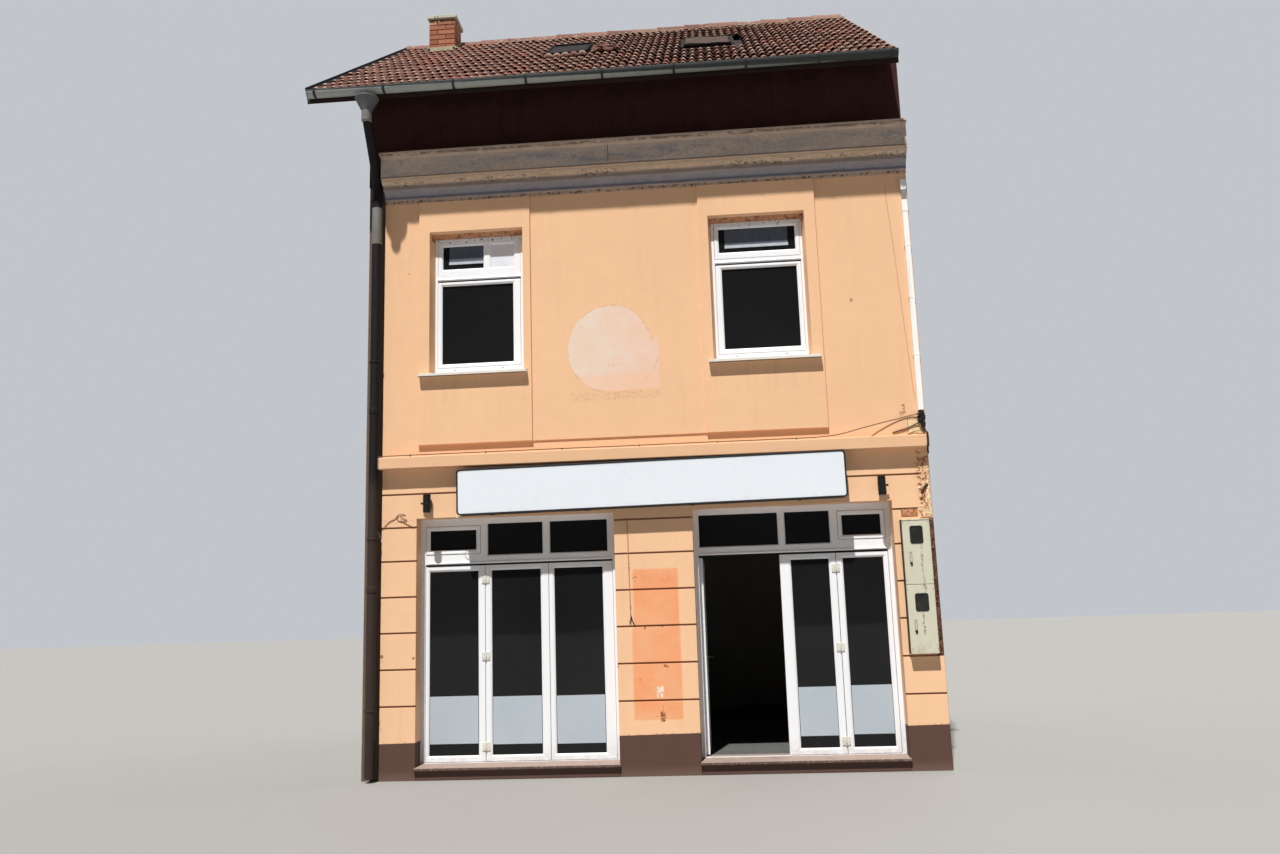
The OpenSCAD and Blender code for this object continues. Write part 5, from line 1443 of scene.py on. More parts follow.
# ---------------------------------------------------------------- rainwater pipe
def build_downpipe():
    b = Bld()
    a, c = Vector((-0.075, -0.075, 6.72)), Vector((-0.010, -0.665, 7.262))
    pts = [(-0.075, -0.075, z) for z in (0.04, 0.5, 1.2, 2.0, 2.8, 3.6, 4.4, 5.2, 5.95)]

    def bez(p0, p1, p2, n):
        return [tuple((1 - t) ** 2 * Vector(p0) + 2 * t * (1 - t) * Vector(p1) + t * t * Vector(p2)) for t in (i / n for i in range(n + 1))]

    d = (c - a).normalized()
    pts += bez(a - Vector((0, 0, 0.12)), a, a + d * 0.12, 7)
    pts += bez(c - d * 0.10, c, c + Vector((0, 0, 0.06)), 7)
    b.tube(pts, 0.054, 20)
    for z in (1.98, 3.96):
        b.lathe(-0.075, -0.075, [(0.0, z), (0.058, z), (0.0595, z + 0.004), (0.0595, z + 0.07), (0.057, z + 0.078), (0.0, z + 0.078)], 24)
    # wall clips with their stems and screws
    for z in (0.72, 2.55, 4.55, 6.48):
        b.lathe(-0.075, -0.075, [(0.0, z), (0.0575, z), (0.0585, z + 0.002), (0.0585, z + 0.026), (0.0575, z + 0.028), (0.0, z + 0.028)], 24)
        b.box(-0.083, -0.067, -0.02, 0.034, z + 0.006, z + 0.022, 0.002)
        for sx in (-1, 1):
            b.box(-0.075 + sx * 0.058 - 0.008, -0.075 + sx * 0.058 + 0.008, -0.082, -0.068, z + 0.003, z + 0.025, 0.002)
    b.obj("downpipe_run", MT["pipe"], replaces=("downpipe",), slot="pipe_paint", smooth=40)
    b = Bld()
    b.lathe(-0.075, -0.075, [(0.0, 5.96), (0.0565, 5.96), (0.058, 5.966), (0.058, 6.39), (0.0565, 6.40), (0.0, 6.40)], 24)
    cx, cy = -0.010, -0.665
    b.lathe(cx, cy, [(0.0, 7.20), (0.0565, 7.20), (0.0575, 7.205), (0.0575, 7.330), (0.0, 7.330)], 24)
    b.obj("pipe_sleeves", MT["zinc_light"], slot="gutter_metal", smooth=40)
    b = Bld()
    b.lathe(cx, cy, [(0.0, 7.316), (0.0575, 7.316), (0.0595, 7.320), (0.0600, 7.326), (0.1290, 7.458), (0.1318, 7.462), (0.1325, 7.466), (0.1325, 7.475), (0.1312, 7.478), (0.1265, 7.478), (0.1250, 7.474), (0.1170, 7.450), (0.0540, 7.336), (0.0, 7.334)], 36)
    b.lathe(cx, cy, [(0.0, 7.40), (0.046, 7.40), (0.046, 7.527), (0.050, 7.530), (0.0, 7.530)], 24)
    b.obj("rainwater_hopper", MT["zinc"], slot="gutter_metal", smooth=35)


# ---------------------------------------------------------------- frames and glass
def sash(b, g, outer, inner, yf, yb, lip=0.0):
    """a window plastic ring: eased outer edge, bead sloping to the glass, and its gasket"""
    yg = yf + 0.016
    b.ring(outer, inner, [("o", 0, yb), ("o", 0, yf + 0.004), ("o", 0.0015, yf + 0.0012), ("o", 0.005, yf), ("o", 0.012, yf - lip), ("g", 0.026, yf - lip), ("g", 0.022, yf + 0.0004), ("g", 0.0205, yf + 0.0022), ("g", 0.019, yf + 0.0006), ("g", 0.004, yf + 0.0085), ("g", 0.0015, yf + 0.0115), ("g", 0.0, yg), ("g", 0.0, yb - 0.012), ("g", 0.018, yb)])
    g.ring([inner[0] - 0.002, inner[1] + 0.002, inner[2] - 0.002, inner[3] + 0.002], [inner[0] + 0.004, inner[1] - 0.004, inner[2] + 0.004, inner[3] - 0.004], [("o", 0, yg - 0.0012), ("o", 0, yg + 0.004), ("g", 0, yg + 0.004), ("g", 0, yg + 0.0004), ("g", 0.002, yg - 0.0012)])


def plate(b, outer, holes, y0, y1):
    """a flat plate with rectangular holes, as one closed mesh"""
    xs = sorted({outer[0], outer[1], *[h[0] for h in holes], *[h[1] for h in holes]})
    zs = sorted({outer[2], outer[3], *[h[2] for h in holes], *[h[3] for h in holes]})
    nx, nz = len(xs) - 1, len(zs) - 1

    def solid(i, j):
        if not (0 <= i < nx and 0 <= j < nz):
            return False
        cx, cz = (xs[i] + xs[i + 1]) / 2, (zs[j] + zs[j + 1]) / 2
        return not any(h[0] < cx < h[1] and h[2] < cz < h[3] for h in holes)

    ids, v, f = {}, [], []

    def vid(i, j, k):
        if (i, j, k) not in ids:
            ids[i, j, k] = len(v)
            v.append((xs[i], (y0, y1)[k], zs[j]))
        return ids[i, j, k]

    for i in range(nx):
        for j in range(nz):
            if not solid(i, j):
                continue
            f.append((vid(i, j, 0), vid(i + 1, j, 0), vid(i + 1, j + 1, 0), vid(i, j + 1, 0)))
            f.append((vid(i, j, 1), vid(i, j + 1, 1), vid(i + 1, j + 1, 1), vid(i + 1, j, 1)))
            if not solid(i - 1, j):
                f.append((vid(i, j, 0), vid(i, j + 1, 0), vid(i, j + 1, 1), vid(i, j, 1)))
            if not solid(i + 1, j):
                f.append((vid(i + 1, j, 0), vid(i + 1, j, 1), vid(i + 1, j + 1, 1), vid(i + 1, j + 1, 0)))
            if not solid(i, j - 1):
                f.append((vid(i, j, 0), vid(i, j, 1), vid(i + 1, j, 1), vid(i + 1, j, 0)))
            if not solid(i, j + 1):
                f.append((vid(i, j + 1, 0), vid(i + 1, j + 1, 0), vid(i + 1, j + 1, 1), vid(i, j + 1, 1)))
    b.add(v, f)


def grow(r, d):
    return [r[0] - d, r[1] + d, r[2] - d, r[3] + d]


def bead(b, g, light, yf, w=0.020):
    """glazing bead filling a hole that is w wider than its light all round"""
    o = grow(light, w)
    yg = yf + 0.018
    b.ring(o, light, [("o", -0.001, yf + 0.030), ("o", -0.001, yf + 0.0022), ("o", 0.0008, yf + 0.0006), ("o", 0.004, yf + 0.0004), ("g", 0.004, yf + 0.0095), ("g", 0.0015, yf + 0.0125), ("g", 0.0, yg), ("g", 0.0, yf + 0.030)])
    g.ring(grow(light, 0.002), grow(light, -0.004), [("o", 0, yg - 0.0012), ("o", 0, yg + 0.004), ("g", 0, yg + 0.004), ("g", 0, yg + 0.0004), ("g", 0.002, yg - 0.0012)])


LEFT_LEAVES = (((0.445, 1.112, 0.155, 2.253), (0.489, 1.034, 0.222, 2.194)), ((1.116, 1.824, 0.155, 2.253), (1.188, 1.733, 0.222, 2.194)), ((1.828, 2.536, 0.155, 2.253), (1.889, 2.422, 0.222, 2.194)))
RIGHT_LEAVES = (((4.365, 4.968, 0.155, 2.253), (4.487, 4.891, 0.223, 2.194)), ((4.973, 5.528, 0.155, 2.253), (5.045, 5.474, 0.223, 2.194)))
LEFT_TOPS = ((0.496, 1.015, 2.433, 2.649), (1.146, 1.761, 2.367, 2.713), (1.847, 2.484, 2.367, 2.713))
RIGHT_TOPS = ((3.502, 4.360, 2.367, 2.713), (4.441, 4.922, 2.367, 2.713), (5.058, 5.470, 2.442, 2.657))
FILM = ((0.343, 0.845), (0.330, 0.831), (0.322, 0.824), (0.343, 0.847), (0.351, 0.852))


def build_shopfronts():
    for side, outer, main, tops, leaves, hop in (
        ("left", (0.396, 2.585, 0.130, 2.780), (0.441, 2.540, 0.150, 2.274), LEFT_TOPS, LEFT_LEAVES, 0),
        ("right", (3.440, 5.577, 0.130, 2.780), (3.485, 5.532, 0.150, 2.276), RIGHT_TOPS, RIGHT_LEAVES, 2),
    ):
        b, g = Bld(), Bld()
        holes = [main]
        for i, t in enumerate(tops):
            if i == hop:
                # a hopper sash sits in its own rebate
                o = (t[0] - 0.050, t[1] + 0.050, t[2] - 0.050, t[3] + 0.050)
                holes.append(o)
            else:
                holes.append(grow(t, 0.015))
        b2 = Bld()
        plate(b2, outer, holes, 0.200, 0.260)
        b2.obj(side + "_shop_frame_bars", MT["frame"], replaces=(side + "_shop_frame",), slot="frame_white", bevel=0.0028)
        for i, t in enumerate(tops):
            if i == hop:
                o = (t[0] - 0.046, t[1] + 0.046, t[2] - 0.046, t[3] + 0.046)
                sash(b, g, o, t, 0.193, 0.250)
            else:
                bead(b, g, t, 0.200, 0.015)
        # weather bar over the leaves
        b.prism([(0.200, main[3] + 0.004), (0.191, main[3] + 0.006), (0.189, main[3] + 0.010), (0.191, main[3] + 0.020), (0.200, main[3] + 0.026)], "x", main[0] + 0.02, main[1] - 0.02)
        b.obj(side + "_shop_beads", MT["frame"], slot="frame_white")
        lv = Bld()
        for o, inner in leaves:
            sash(lv, g, list(o), list(inner), 0.209, 0.256, 0.0)
        lv.obj(side + "_leaf_frames", MT["frame"], replaces=(side + "_folding_doors",), slot="frame_white")
        # dark seals in the leaf joints, and a dark strip behind the gap over the leaves as painted shade
        for xj in ((1.114, 1.826) if side == "left" else (4.9705,)):
            g.box(xj - 0.0015, xj + 0.0015, 0.212, 0.250, 0.160, 2.250, 0.0004)
        xs0 = leaves[0][0][0]
        g.box(xs0 + 0.002, leaves[-1][0][1] - 0.002, 0.224, 0.250, 2.2545, main[3] + 0.002, 0.0004)
        g.obj(side + "_shop_gaskets", MT["rubber"], slot="glazing")
        # folding hinges at the leaf joints: plates with their barrel and pin, and a cover below
        h = Bld()
        for xj, zs in ((1.120, (2.095, 1.262, 0.307)),) if side == "left" else ((4.962, (2.090, 1.250, 0.285)),):
            for z in zs:
                h.lathe(xj, 0.2005, [(0.0, z - 0.047), (0.0055, z - 0.047), (0.0070, z - 0.045), (0.0070, z - 0.0155), (0.0060, z - 0.015), (0.0060, z - 0.014), (0.0070, z - 0.0135), (0.0070, z + 0.0135), (0.0060, z + 0.014), (0.0060, z + 0.015), (0.0070, z + 0.0155), (0.0070, z + 0.045), (0.0055, z + 0.047), (0.0, z + 0.047)], 14)
                for xa, xb in ((xj - 0.043, xj - 0.005), (xj + 0.005, xj + 0.043)):
                    h.box(xa, xb, 0.2025, 0.2095, z - 0.046, z + 0.046, 0.002)
                    h.box(xa + 0.004, xb - 0.004, 0.1995, 0.2030, z - 0.040, z + 0.012, 0.0015)
        h.obj(side + "_leaf_hinges", MT["hinge"], slot="frame_white", smooth=40)
        # inside handles on the folding leaves
        k = Bld()
        for o, inner in leaves[:1] if side == "right" else leaves[1:2]:
            xk = (o[0] + inner[0]) / 2
            k.box(xk - 0.014, xk + 0.014, 0.256, 0.264, 0.98, 1.12, 0.003)
            k.lathe(xk, 1.07, [(0.0, 0.262), (0.009, 0.262), (0.009, 0.300), (0.0, 0.300)], 14, "y")
            k.tube([(xk, 0.296, 1.07), (xk, 0.300, 1.05), (xk, 0.300, 0.96)], 0.008, 10)
        k.obj(side + "_leaf_handle", MT["steel"], slot="frame_white", smooth=40)
    # film along the foot of each leaf's glass
    fm = Bld()
    for (o, i), (za, zb) in zip((*LEFT_LEAVES, *RIGHT_LEAVES), FILM):
        fm.box(i[0] + 0.004, i[1] - 0.004, 0.2188, 0.2198, za, zb, 0.0003)
    fm.obj("shop_glass_film", MT["film"], slot="glazing")
    paint("shop_glass", MT["glass"])
    # silicone joint round the frames, a little uneven
    s = Bld()
    for o in ((0.396, 2.585, 0.130, 2.780), (3.440, 5.577, 0.130, 2.780)):
        s.ring([o[0] - 0.0005, o[1] + 0.0005, o[2] + 0.001, o[3] + 0.0005], [o[0] + 0.006, o[1] - 0.006, o[2] + 0.007, o[3] - 0.006], [("o", 0, 0.206), ("o", 0, 0.193), ("g", 0, 0.1985), ("g", 0, 0.206)])
    s.obj("frame_sealant", MT["panel"], slot="frame_white")


def build_door():
    # drawn closed, then turned open about its hinge line
    px, py = 3.459 + OX, 0.274 + OY
    turn = Matrix.Translation((px, py, 0)) @ Matrix.Rotation(math.radians(90), 4, "Z") @ Matrix.Translation((-px, -py, 0))
    b, g = Bld(), Bld()
    sash(b, g, [3.491, 4.355, 0.165, 2.250], [3.568, 4.278, 0.222, 2.194], 0.206, 0.258)
    # hinge leaves, arms and barrels
    for z in (0.380, 1.200, 2.020):
        b.box(3.459, 3.530, 0.268, 0.273, z, z + 0.09, 0.001)
        b.box(3.496, 3.530, 0.257, 0.269, z, z + 0.09, 0.0015)
        b.lathe(3.459, 0.274, [(0.0, z), (0.0065, z), (0.008, z + 0.002), (0.008, z + 0.088), (0.0065, z + 0.09), (0.0, z + 0.09)], 16)
    b.obj("shop_door_leaf", MT["frame"], body="door_leaf", replaces=("shop_door",), slot="frame_white", place=turn, smooth=30)
    g.obj("shop_door_gasket", MT["rubber"], body="door_leaf", slot="glazing", place=turn)
    k = Bld()
    for yf, s in ((0.206, -1), (0.258, 1)):
        ya, yb = sorted((yf, yf + s * 0.008))
        k.box(4.300, 4.334, ya, yb, 0.985, 1.205, 0.003)
        pts = sorted((yf + s * 0.006, yf + s * 0.046))
        k.lathe(4.317, 1.150, [(0.0, pts[0]), (0.010, pts[0]), (0.010, pts[1]), (0.0, pts[1])], 16, "y")
        yy = yf + s * 0.043
        k.tube([(4.317, yy, 1.150), (4.312, yy + s * 0.003, 1.150), (4.290, yy + s * 0.004, 1.150), (4.215, yy + s * 0.002, 1.149), (4.205, yy, 1.149)], [0.0095, 0.0095, 0.009, 0.0085, 0.006], 12)
        k.lathe(4.317, 1.035, [(0.0, yf - 0.001), (0.0085, yf - 0.001), (0.0085, yf + s * 0.010), (0.007, yf + s * 0.011), (0.0, yf + s * 0.011)], 16, "y")
    k.obj("shop_door_handles", MT["steel"], body="door_leaf", slot="frame_white", place=turn, smooth=40)
    paint("door_glass", MT["glass"])
    # fixed knuckles on the frame side
    f = Bld()
    for z in (0.380, 1.200, 2.020):
        for za in (z - 0.030, z + 0.092):
            f.lathe(3.459, 0.274, [(0.0, za), (0.0065, za), (0.008, za + 0.002), (0.008, za + 0.026), (0.0065, za + 0.028), (0.0, za + 0.028)], 16)
            f.box(3.449, 3.469, 0.2595, 0.270, za + 0.001, za + 0.027, 0.001)
    f.obj("door_frame_knuckles", MT["frame"], slot="frame_white", smooth=40)
    # striker plates on the latch side, let into the folding leaf's edge
    f = Bld()
    f.box(4.3635, 4.3652, 0.214, 0.246, 1.00, 1.20, 0.0004)
    f.obj("door_striker", MT["steel"], slot="frame_white")


def build_windows():
    def window(b, g, p, bar, x, z, kind, rear=False):
        """one window in its opening; x, z are the opening's left edge and the frame's foot"""
        y = 0.10
        h = 1.593 if kind != "low" else 1.428
        x0, x1, zt = x + 0.030, x + 1.058, z + h
        if kind == "left":
            lights = [(0.114, 0.941, 0.097, 1.023), (0.119, 0.593, 1.232, 1.504), (0.684, 0.947, 1.232, 1.504)]
        elif kind == "single":
            lights = [(0.133, 0.978, 0.109, 1.042), (0.114, 0.978, 1.242, 1.519)]
        else:
            lights = [(0.127, 0.963, 0.106, 0.860), (0.119, 0.958, 1.020, 1.300)]
        L = [(x + a, x + c, z + d, z + e) for a, c, d, e in lights]
        mid = L[0][3] + 0.062
        gap = 0.058 if kind != "low" else 0.055
        lower = (x + 0.060, x + 1.030, z + 0.048, mid + 0.008)
        upper = (x + 0.060, x + 1.030, mid + gap, zt - 0.022)
        plate(b, (x0, x1, z, zt), [lower, upper], y, y + 0.060)
        sash(p, g, (lower[0] + 0.003, lower[1] - 0.003, lower[2] + 0.003, lower[3] - 0.024), L[0], y - 0.004, y + 0.054)
        # dark seal at the back of the gap over the lower sash; its darkness is painted shade in the gap
        g.box(lower[0] + 0.004, lower[1] - 0.004, y + 0.030, y + 0.050, lower[3] - 0.026, lower[3] + 0.001, 0.0004)
        if kind == "left":
            plate(b, (upper[0] + 0.003, upper[1] - 0.003, upper[2] + 0.003, upper[3] - 0.003), [grow(L[1], 0.020), grow(L[2], 0.020)], y + 0.003, y + 0.056)
            bead(p, g, L[1], y + 0.003)
            bead(p, g, L[2], y + 0.003)
        else:
            sash(p, g, (upper[0] + 0.003, upper[1] - 0.003, upper[2] + 0.003, upper[3] - 0.003), L[1], y - 0.004, y + 0.054)
        # drip rail, and drain slots drawn as dark patches of painted shade
        p.prism([(y + 0.001, mid + 0.010), (y - 0.014, mid + 0.012), (y - 0.016, mid + 0.016), (y - 0.014, mid + 0.022), (y + 0.001, mid + 0.036)], "x", x + 0.056, x + 1.034)
        for xs in (x + 0.25, x + 0.80):
            g.box(xs, xs + 0.03, y - 0.0008, y + 0.002, z + 0.020, z + 0.026, 0.0004)
        # hinge covers and handle inside
        for zz in (lower[2] + 0.12, lower[3] - 0.20):
            p.box(lower[0] - 0.006, lower[0] + 0.010, y + 0.052, y + 0.068, zz, zz + 0.08, 0.002)
        bar.box(lower[1] - 0.034, lower[1] - 0.008, y + 0.054, y + 0.062, z + 0.50, z + 0.57, 0.002)
        bar.box(lower[1] - 0.029, lower[1] - 0.013, y + 0.060, y + 0.084, z + 0.40, z + 0.545, 0.003)
        return L

    for node, rear in (("window_frames", False), ("rear_window_frames", True)):
        b, g, p, bar = Bld(), Bld(), Bld(), Bld()
        spots = [(0.539, 4.447, "left"), (3.751, 4.447, "single")] if not rear else [(0.539, 4.447, "single"), (3.751, 4.447, "single"), (0.539, 0.927, "low")]
        for x, z, kind in spots:
            window(b, g, p, bar, x, z, kind, rear)
        pre = "rear_window" if rear else "window"
        if rear:
            for q in (b, g, p, bar):
                q.v = [(x, 6.3 - y, z) for x, y, z in q.v]
        b.obj(pre + "_outer_frames", MT["frame"], replaces=(node,), slot="frame_white", bevel=0.0025)
        p.obj(pre + "_sashes", MT["frame"], slot="frame_white")
        g.obj(pre + "_gaskets", MT["rubber"], slot="glazing")
        bar.obj(pre + "_handles", MT["steel"], slot="frame_white")
    # white board in the left window's small right light; roller blinds with pale bottom rails
    b = Bld()
    b.box(1.219, 1.490, 0.1155, 0.1195, 5.677, 5.953, 0.001)
    b.obj("window_infill_panel", MT["panel"], slot="frame_white")
    b, q = Bld(), Bld()
    b.box(3.934, 4.647, 0.1165, 0.1195, 5.775, 5.966, 0.0008)
    q.box(3.930, 4.651, 0.1135, 0.1195, 5.741, 5.776, 0.002)
    b.box(0.730, 1.128, 0.1165, 0.1195, 5.765, 5.951, 0.0008)
    q.box(0.726, 1.132, 0.1135, 0.1195, 5.734, 5.766, 0.002)
    b.obj("roller_blinds", MT["blind"], slot="frame_white")
    q.obj("blind_bottom_rails", MT["rail"], slot="frame_white")
    paint("window_glass", MT["glass"])
    paint("rear_window_glass", MT["glass"])
    softened("window_sills", MT["sill"], width=0.003, angle=20)
    softened("rear_sills", MT["sill"], width=0.003, angle=20)
    # turned-down noses and end caps of the sheet sills, with a brown strip beneath the nose that is painted shade
    b, q = Bld(), Bld()
    for x0, x1, z in ((0.430, 1.659, 4.420), (3.699, 4.923, 4.420)):
        b.box(x0 - 0.001, x1 + 0.001, -0.1175, -0.1135, z - 0.053, z - 0.024, 0.0012)
        q.box(x0 + 0.001, x1 - 0.001, -0.1158, -0.1135, z - 0.063, z - 0.0525, 0.0008)
        for xe in (x0, x1):
            b.box(xe - 0.003, xe + 0.003, -0.116, -0.041, z - 0.054, z - 0.010, 0.0014)
    b.obj("sill_noses", MT["sill"], slot="sill_white")
    q.obj("sill_nose_shade_strips", MT["brown_wire"], slot="sill_white")
    b = Bld()
    for z, xs in ((4.420, (0.539, 3.751)), (0.900, (0.539,))):
        for xo in xs:
            b.box(xo - 0.061, xo + 1.143, 6.3735, 6.3775, z - 0.060, z - 0.024, 0.0012)
            for xe in (xo - 0.060, xo + 1.142):
                b.box(xe - 0.004, xe + 0.004, 6.301, 6.376, z - 0.054, z - 0.006, 0.0015)
    b.obj("rear_sill_noses", MT["sill"], slot="sill_white")


# ---------------------------------------------------------------- things on the front
def build_front_fittings():
    # signboard: sheet box, white face held by a thin dark trim, left bare; hung a little off level
    ca, sa_ = math.cos(math.radians(0.53)), math.sin(math.radians(0.53))

    def tilted(pts):
        return [(2.991 + (x - 2.991) * ca - (z - 3.055) * sa_, 3.055 + (x - 2.991) * sa_ + (z - 3.055) * ca) for x, z in pts]

    b = Bld()
    b.prism(tilted(rounded(0.880, 5.102, 2.805, 3.305, 0.038)), "y", -0.140, 0.0)
    b.loop_ring(tilted(rounded(0.878, 5.104, 2.803, 3.307, 0.040)), tilted(rounded(0.896, 5.086, 2.819, 3.289, 0.026)), -0.150, -0.134)
    b.obj("signboard_case", MT["charcoal"], replaces=("signboard",), slot="sign_white", bevel=0.0015)
    b = Bld()
    b.prism(tilted(rounded(0.894, 5.088, 2.817, 3.291, 0.027)), "y", -0.1465, -0.1385)
    b.obj("signboard_face", MT["sign"], slot="sign_white", bevel=0.001)
    b = Bld()
    for x in (1.25, 2.30, 3.45, 4.60):
        for xa, xb, ya, yb, za, zb in ((x - 0.020, x + 0.020, -0.075, 0.002, 3.305, 3.310), (x - 0.020, x + 0.020, -0.004, 0.001, 3.305, 3.330), (x - 0.020, x + 0.020, -0.075, 0.002, 2.800, 2.805)):
            b.prism(tilted([(xa, za), (xb, za), (xb, zb), (xa, zb)]), "y", ya, yb)
    b.obj("signboard_brackets", MT["charcoal"], slot="sign_white", bevel=0.001)
    # a loop of pale cable at the sign's lower left corner
    b = Bld()
    loop = [(0.905, -0.060, 2.806), (0.896, -0.052, 2.782), (0.872, -0.040, 2.766), (0.852, -0.030, 2.772), (0.846, -0.022, 2.794), (0.860, -0.016, 2.812), (0.884, -0.014, 2.806), (0.900, -0.012, 2.786), (0.908, -0.010, 2.758), (0.906, -0.005, 2.735)]
    b.tube(loop, 0.0035, 8)
    b.obj("sign_feed_cable", MT["white_wire"], slot="cable_black", smooth=40)

    # wall lamps: up and down light with a side screw
    b, l = Bld(), Bld()
    for x, s in ((0.528, -1), (5.476, 1)):
        y = -0.066
        b.lathe(x, y, [(0.0, 2.843), (0.036, 2.843), (0.036, 2.835), (0.0405, 2.835), (0.042, 2.8365), (0.042, 2.905), (0.0408, 2.906), (0.0408, 2.909), (0.042, 2.910), (0.042, 2.960), (0.0408, 2.961), (0.0408, 2.964), (0.042, 2.965), (0.042, 3.0335), (0.0405, 3.035), (0.036, 3.035), (0.036, 3.027), (0.0, 3.027)], 32)
        b.box(x - 0.035, x + 0.035, -0.010, 0.0005, 2.885, 2.985, 0.003)
        b.box(x - 0.016, x + 0.016, -0.032, -0.006, 2.900, 2.970, 0.003)
        a, c = sorted((x + s * 0.040, x + s * 0.068))
        b.lathe(y, 2.938, [(0.0, a), (0.009, a), (0.009, a + 0.009), (0.013, a + 0.011), (0.013, c - 0.002), (0.011, c), (0.0, c)], 16, "x")
        l.lathe(x, y, [(0.0, 2.8375), (0.035, 2.8375), (0.035, 2.8425), (0.0, 2.8425)], 24)
        l.lathe(x, y, [(0.0, 3.0275), (0.035, 3.0275), (0.035, 3.0325), (0.0, 3.0325)], 24)
    b.obj("wall_lamp_bodies", MT["black"], replaces=("wall_lamps",), slot="lamp_black", smooth=35)
    l.obj("wall_lamp_lenses", MT["lens"], slot="lamp_black", smooth=35)

    # meter cabinet: shell, two doors, windows and latches
    b = Bld()
    b.box(5.649, 5.933, -0.086, 0.0, 1.173, 2.556, 0.003)
    b.box(5.648, 5.934, -0.0985, -0.084, 1.882, 2.558, 0.0035)
    b.box(5.648, 5.934, -0.0985, -0.084, 1.172, 1.876, 0.0035)
    b.prism([(-0.098, 2.556), (-0.1035, 2.553), (-0.1035, 2.559), (-0.06, 2.5655), (0.0, 2.5655), (0.0, 2.556)], "x", 5.645, 5.937)
    for zt in (2.225, 1.525):
        b.loop_ring(rounded(5.696, 5.738, zt - 0.150, zt, 0.006, 3), rounded(5.701, 5.733, zt - 0.145, zt - 0.005, 0.004, 3), -0.1005, -0.097)
        b.box(5.708, 5.726, -0.1065, -0.098, zt - 0.112, zt - 0.016, 0.003)
    b.obj("meter_cabinet_shell", MT["cabinet"], replaces=("meter_cabinet",), slot="cabinet_cream")
    b, g = Bld(), Bld()
    for x0, x1, z0, z1 in ((5.722, 5.858, 2.304, 2.492), (5.726, 5.865, 1.604, 1.789)):
        b.loop_ring(rounded(x0, x1, z0, z1, 0.024), rounded(x0 + 0.011, x1 - 0.011, z0 + 0.011, z1 - 0.011, 0.015), -0.1030, -0.096)
        g.prism(rounded(x0 + 0.008, x1 - 0.008, z0 + 0.008, z1 - 0.008, 0.017), "y", -0.1000, -0.096)
    for zt in (2.225, 1.525):
        # slot outline and the dark arrow under it
        b.loop_ring(rounded(5.7065, 5.7275, zt - 0.1135, zt - 0.0145, 0.003, 2), rounded(5.7085, 5.7255, zt - 0.1115, zt - 0.0165, 0.0025, 2), -0.1072, -0.098)
        b.prism([(5.699, zt - 0.118), (5.714, zt - 0.124), (5.717, zt - 0.110), (5.720, zt - 0.124), (5.735, zt - 0.118), (5.727, zt - 0.152), (5.719, zt - 0.160)], "y", -0.1005, -0.097)
        for xs, zs in ((5.660, zt + 0.30), (5.922, zt + 0.30), (5.660, zt - 0.30), (5.922, zt - 0.30)):
            b.lathe(xs, min(max(zs, 1.20), 2.54), [(0.0, -0.1002), (0.004, -0.1002), (0.0045, -0.0985), (0.0, -0.0985)], 10, "y")
    # a dark strip down the cabinet's left side, where it meets the pier: painted shade of the narrow gap
    b.box(5.641, 5.6495, -0.030, 0.001, 1.175, 2.56, 0.002)
    b.obj("meter_cabinet_seals", MT["rubber"], slot="cabinet_cream", smooth=40)
    g.obj("meter_cabinet_windows", MT["cab_glass"], slot="cabinet_cream", bevel=0.001)

    # trunking with its lid seam, joint pieces and clips
    b, q = Bld(), Bld()
    b.box(5.926, 5.984, -0.034, 0.0, 3.742, 6.19, 0.002)
    b.box(5.925, 5.985, -0.040, -0.030, 3.740, 6.00, 0.0025)
    b.box(5.923, 5.987, -0.042, 0.0, 6.005, 6.142, 0.003)
    b.box(5.925, 5.985, -0.040, 0.0, 6.262, 6.388, 0.0025)
    for z in (4.35, 5.0, 5.6):
        b.box(5.921, 5.989, -0.0415, 0.0, z, z + 0.018, 0.002)
    q.box(5.927, 5.983, -0.038, 0.0, 6.142, 6.262, 0.002)
    b.obj("trunking_run", MT["trunk"], replaces=("cable_trunking",), slot="trunking_white")
    q.obj("trunking_joint", MT["grey_joint"], slot="trunking_white")

    # cable on the string course, rising to a tangle at the trunking's foot
    def curve(pts, n=6):
        """a smooth line through the points"""
        P = [Vector(p) for p in pts]
        P = [P[0] + (P[0] - P[1])] + P + [P[-1] + (P[-1] - P[-2])]
        out = []
        for i in range(1, len(P) - 2):
            for k in range(n):
                t = k / n
                out.append(tuple(0.5 * (2 * P[i] + (P[i + 1] - P[i - 1]) * t + (2 * P[i - 1] - 5 * P[i] + 4 * P[i + 1] - P[i + 2]) * t * t + (3 * P[i] - P[i - 1] - 3 * P[i + 1] + P[i + 2]) * t ** 3)))
        out.append(tuple(P[-2]))
        return out

    b, w1, w2 = Bld(), Bld(), Bld()
    way = [(-0.010, -0.105, 3.4765)]
    for i in range(1, 39):
        x = -0.010 + 4.91 * i / 40
        way.append((x, -0.105 + 0.004 * math.sin(x * 3.1), 3.4765 + 0.0018 * abs(math.sin(x * 2.3))))
    way += curve([(4.80, -0.104, 3.478), (5.05, -0.098, 3.500), (5.28, -0.080, 3.555), (5.499, -0.040, 3.611), (5.697, -0.014, 3.655), (5.825, -0.010, 3.684), (5.894, -0.016, 3.695), (5.940, -0.026, 3.712)], 5)
    w1.tube(way, 0.0050, 8)
    w1.tube(curve([(5.640, -0.006, 3.508), (5.724, -0.010, 3.531), (5.799, -0.010, 3.551), (5.876, -0.014, 3.584), (5.941, -0.026, 3.612), (5.965, -0.030, 3.600)]), 0.0070, 8)
    w1.tube(curve([(5.800, -0.006, 3.480), (5.860, -0.012, 3.508), (5.930, -0.020, 3.514), (5.975, -0.030, 3.505)]), 0.0040, 8)
    rnd = random.Random(5)
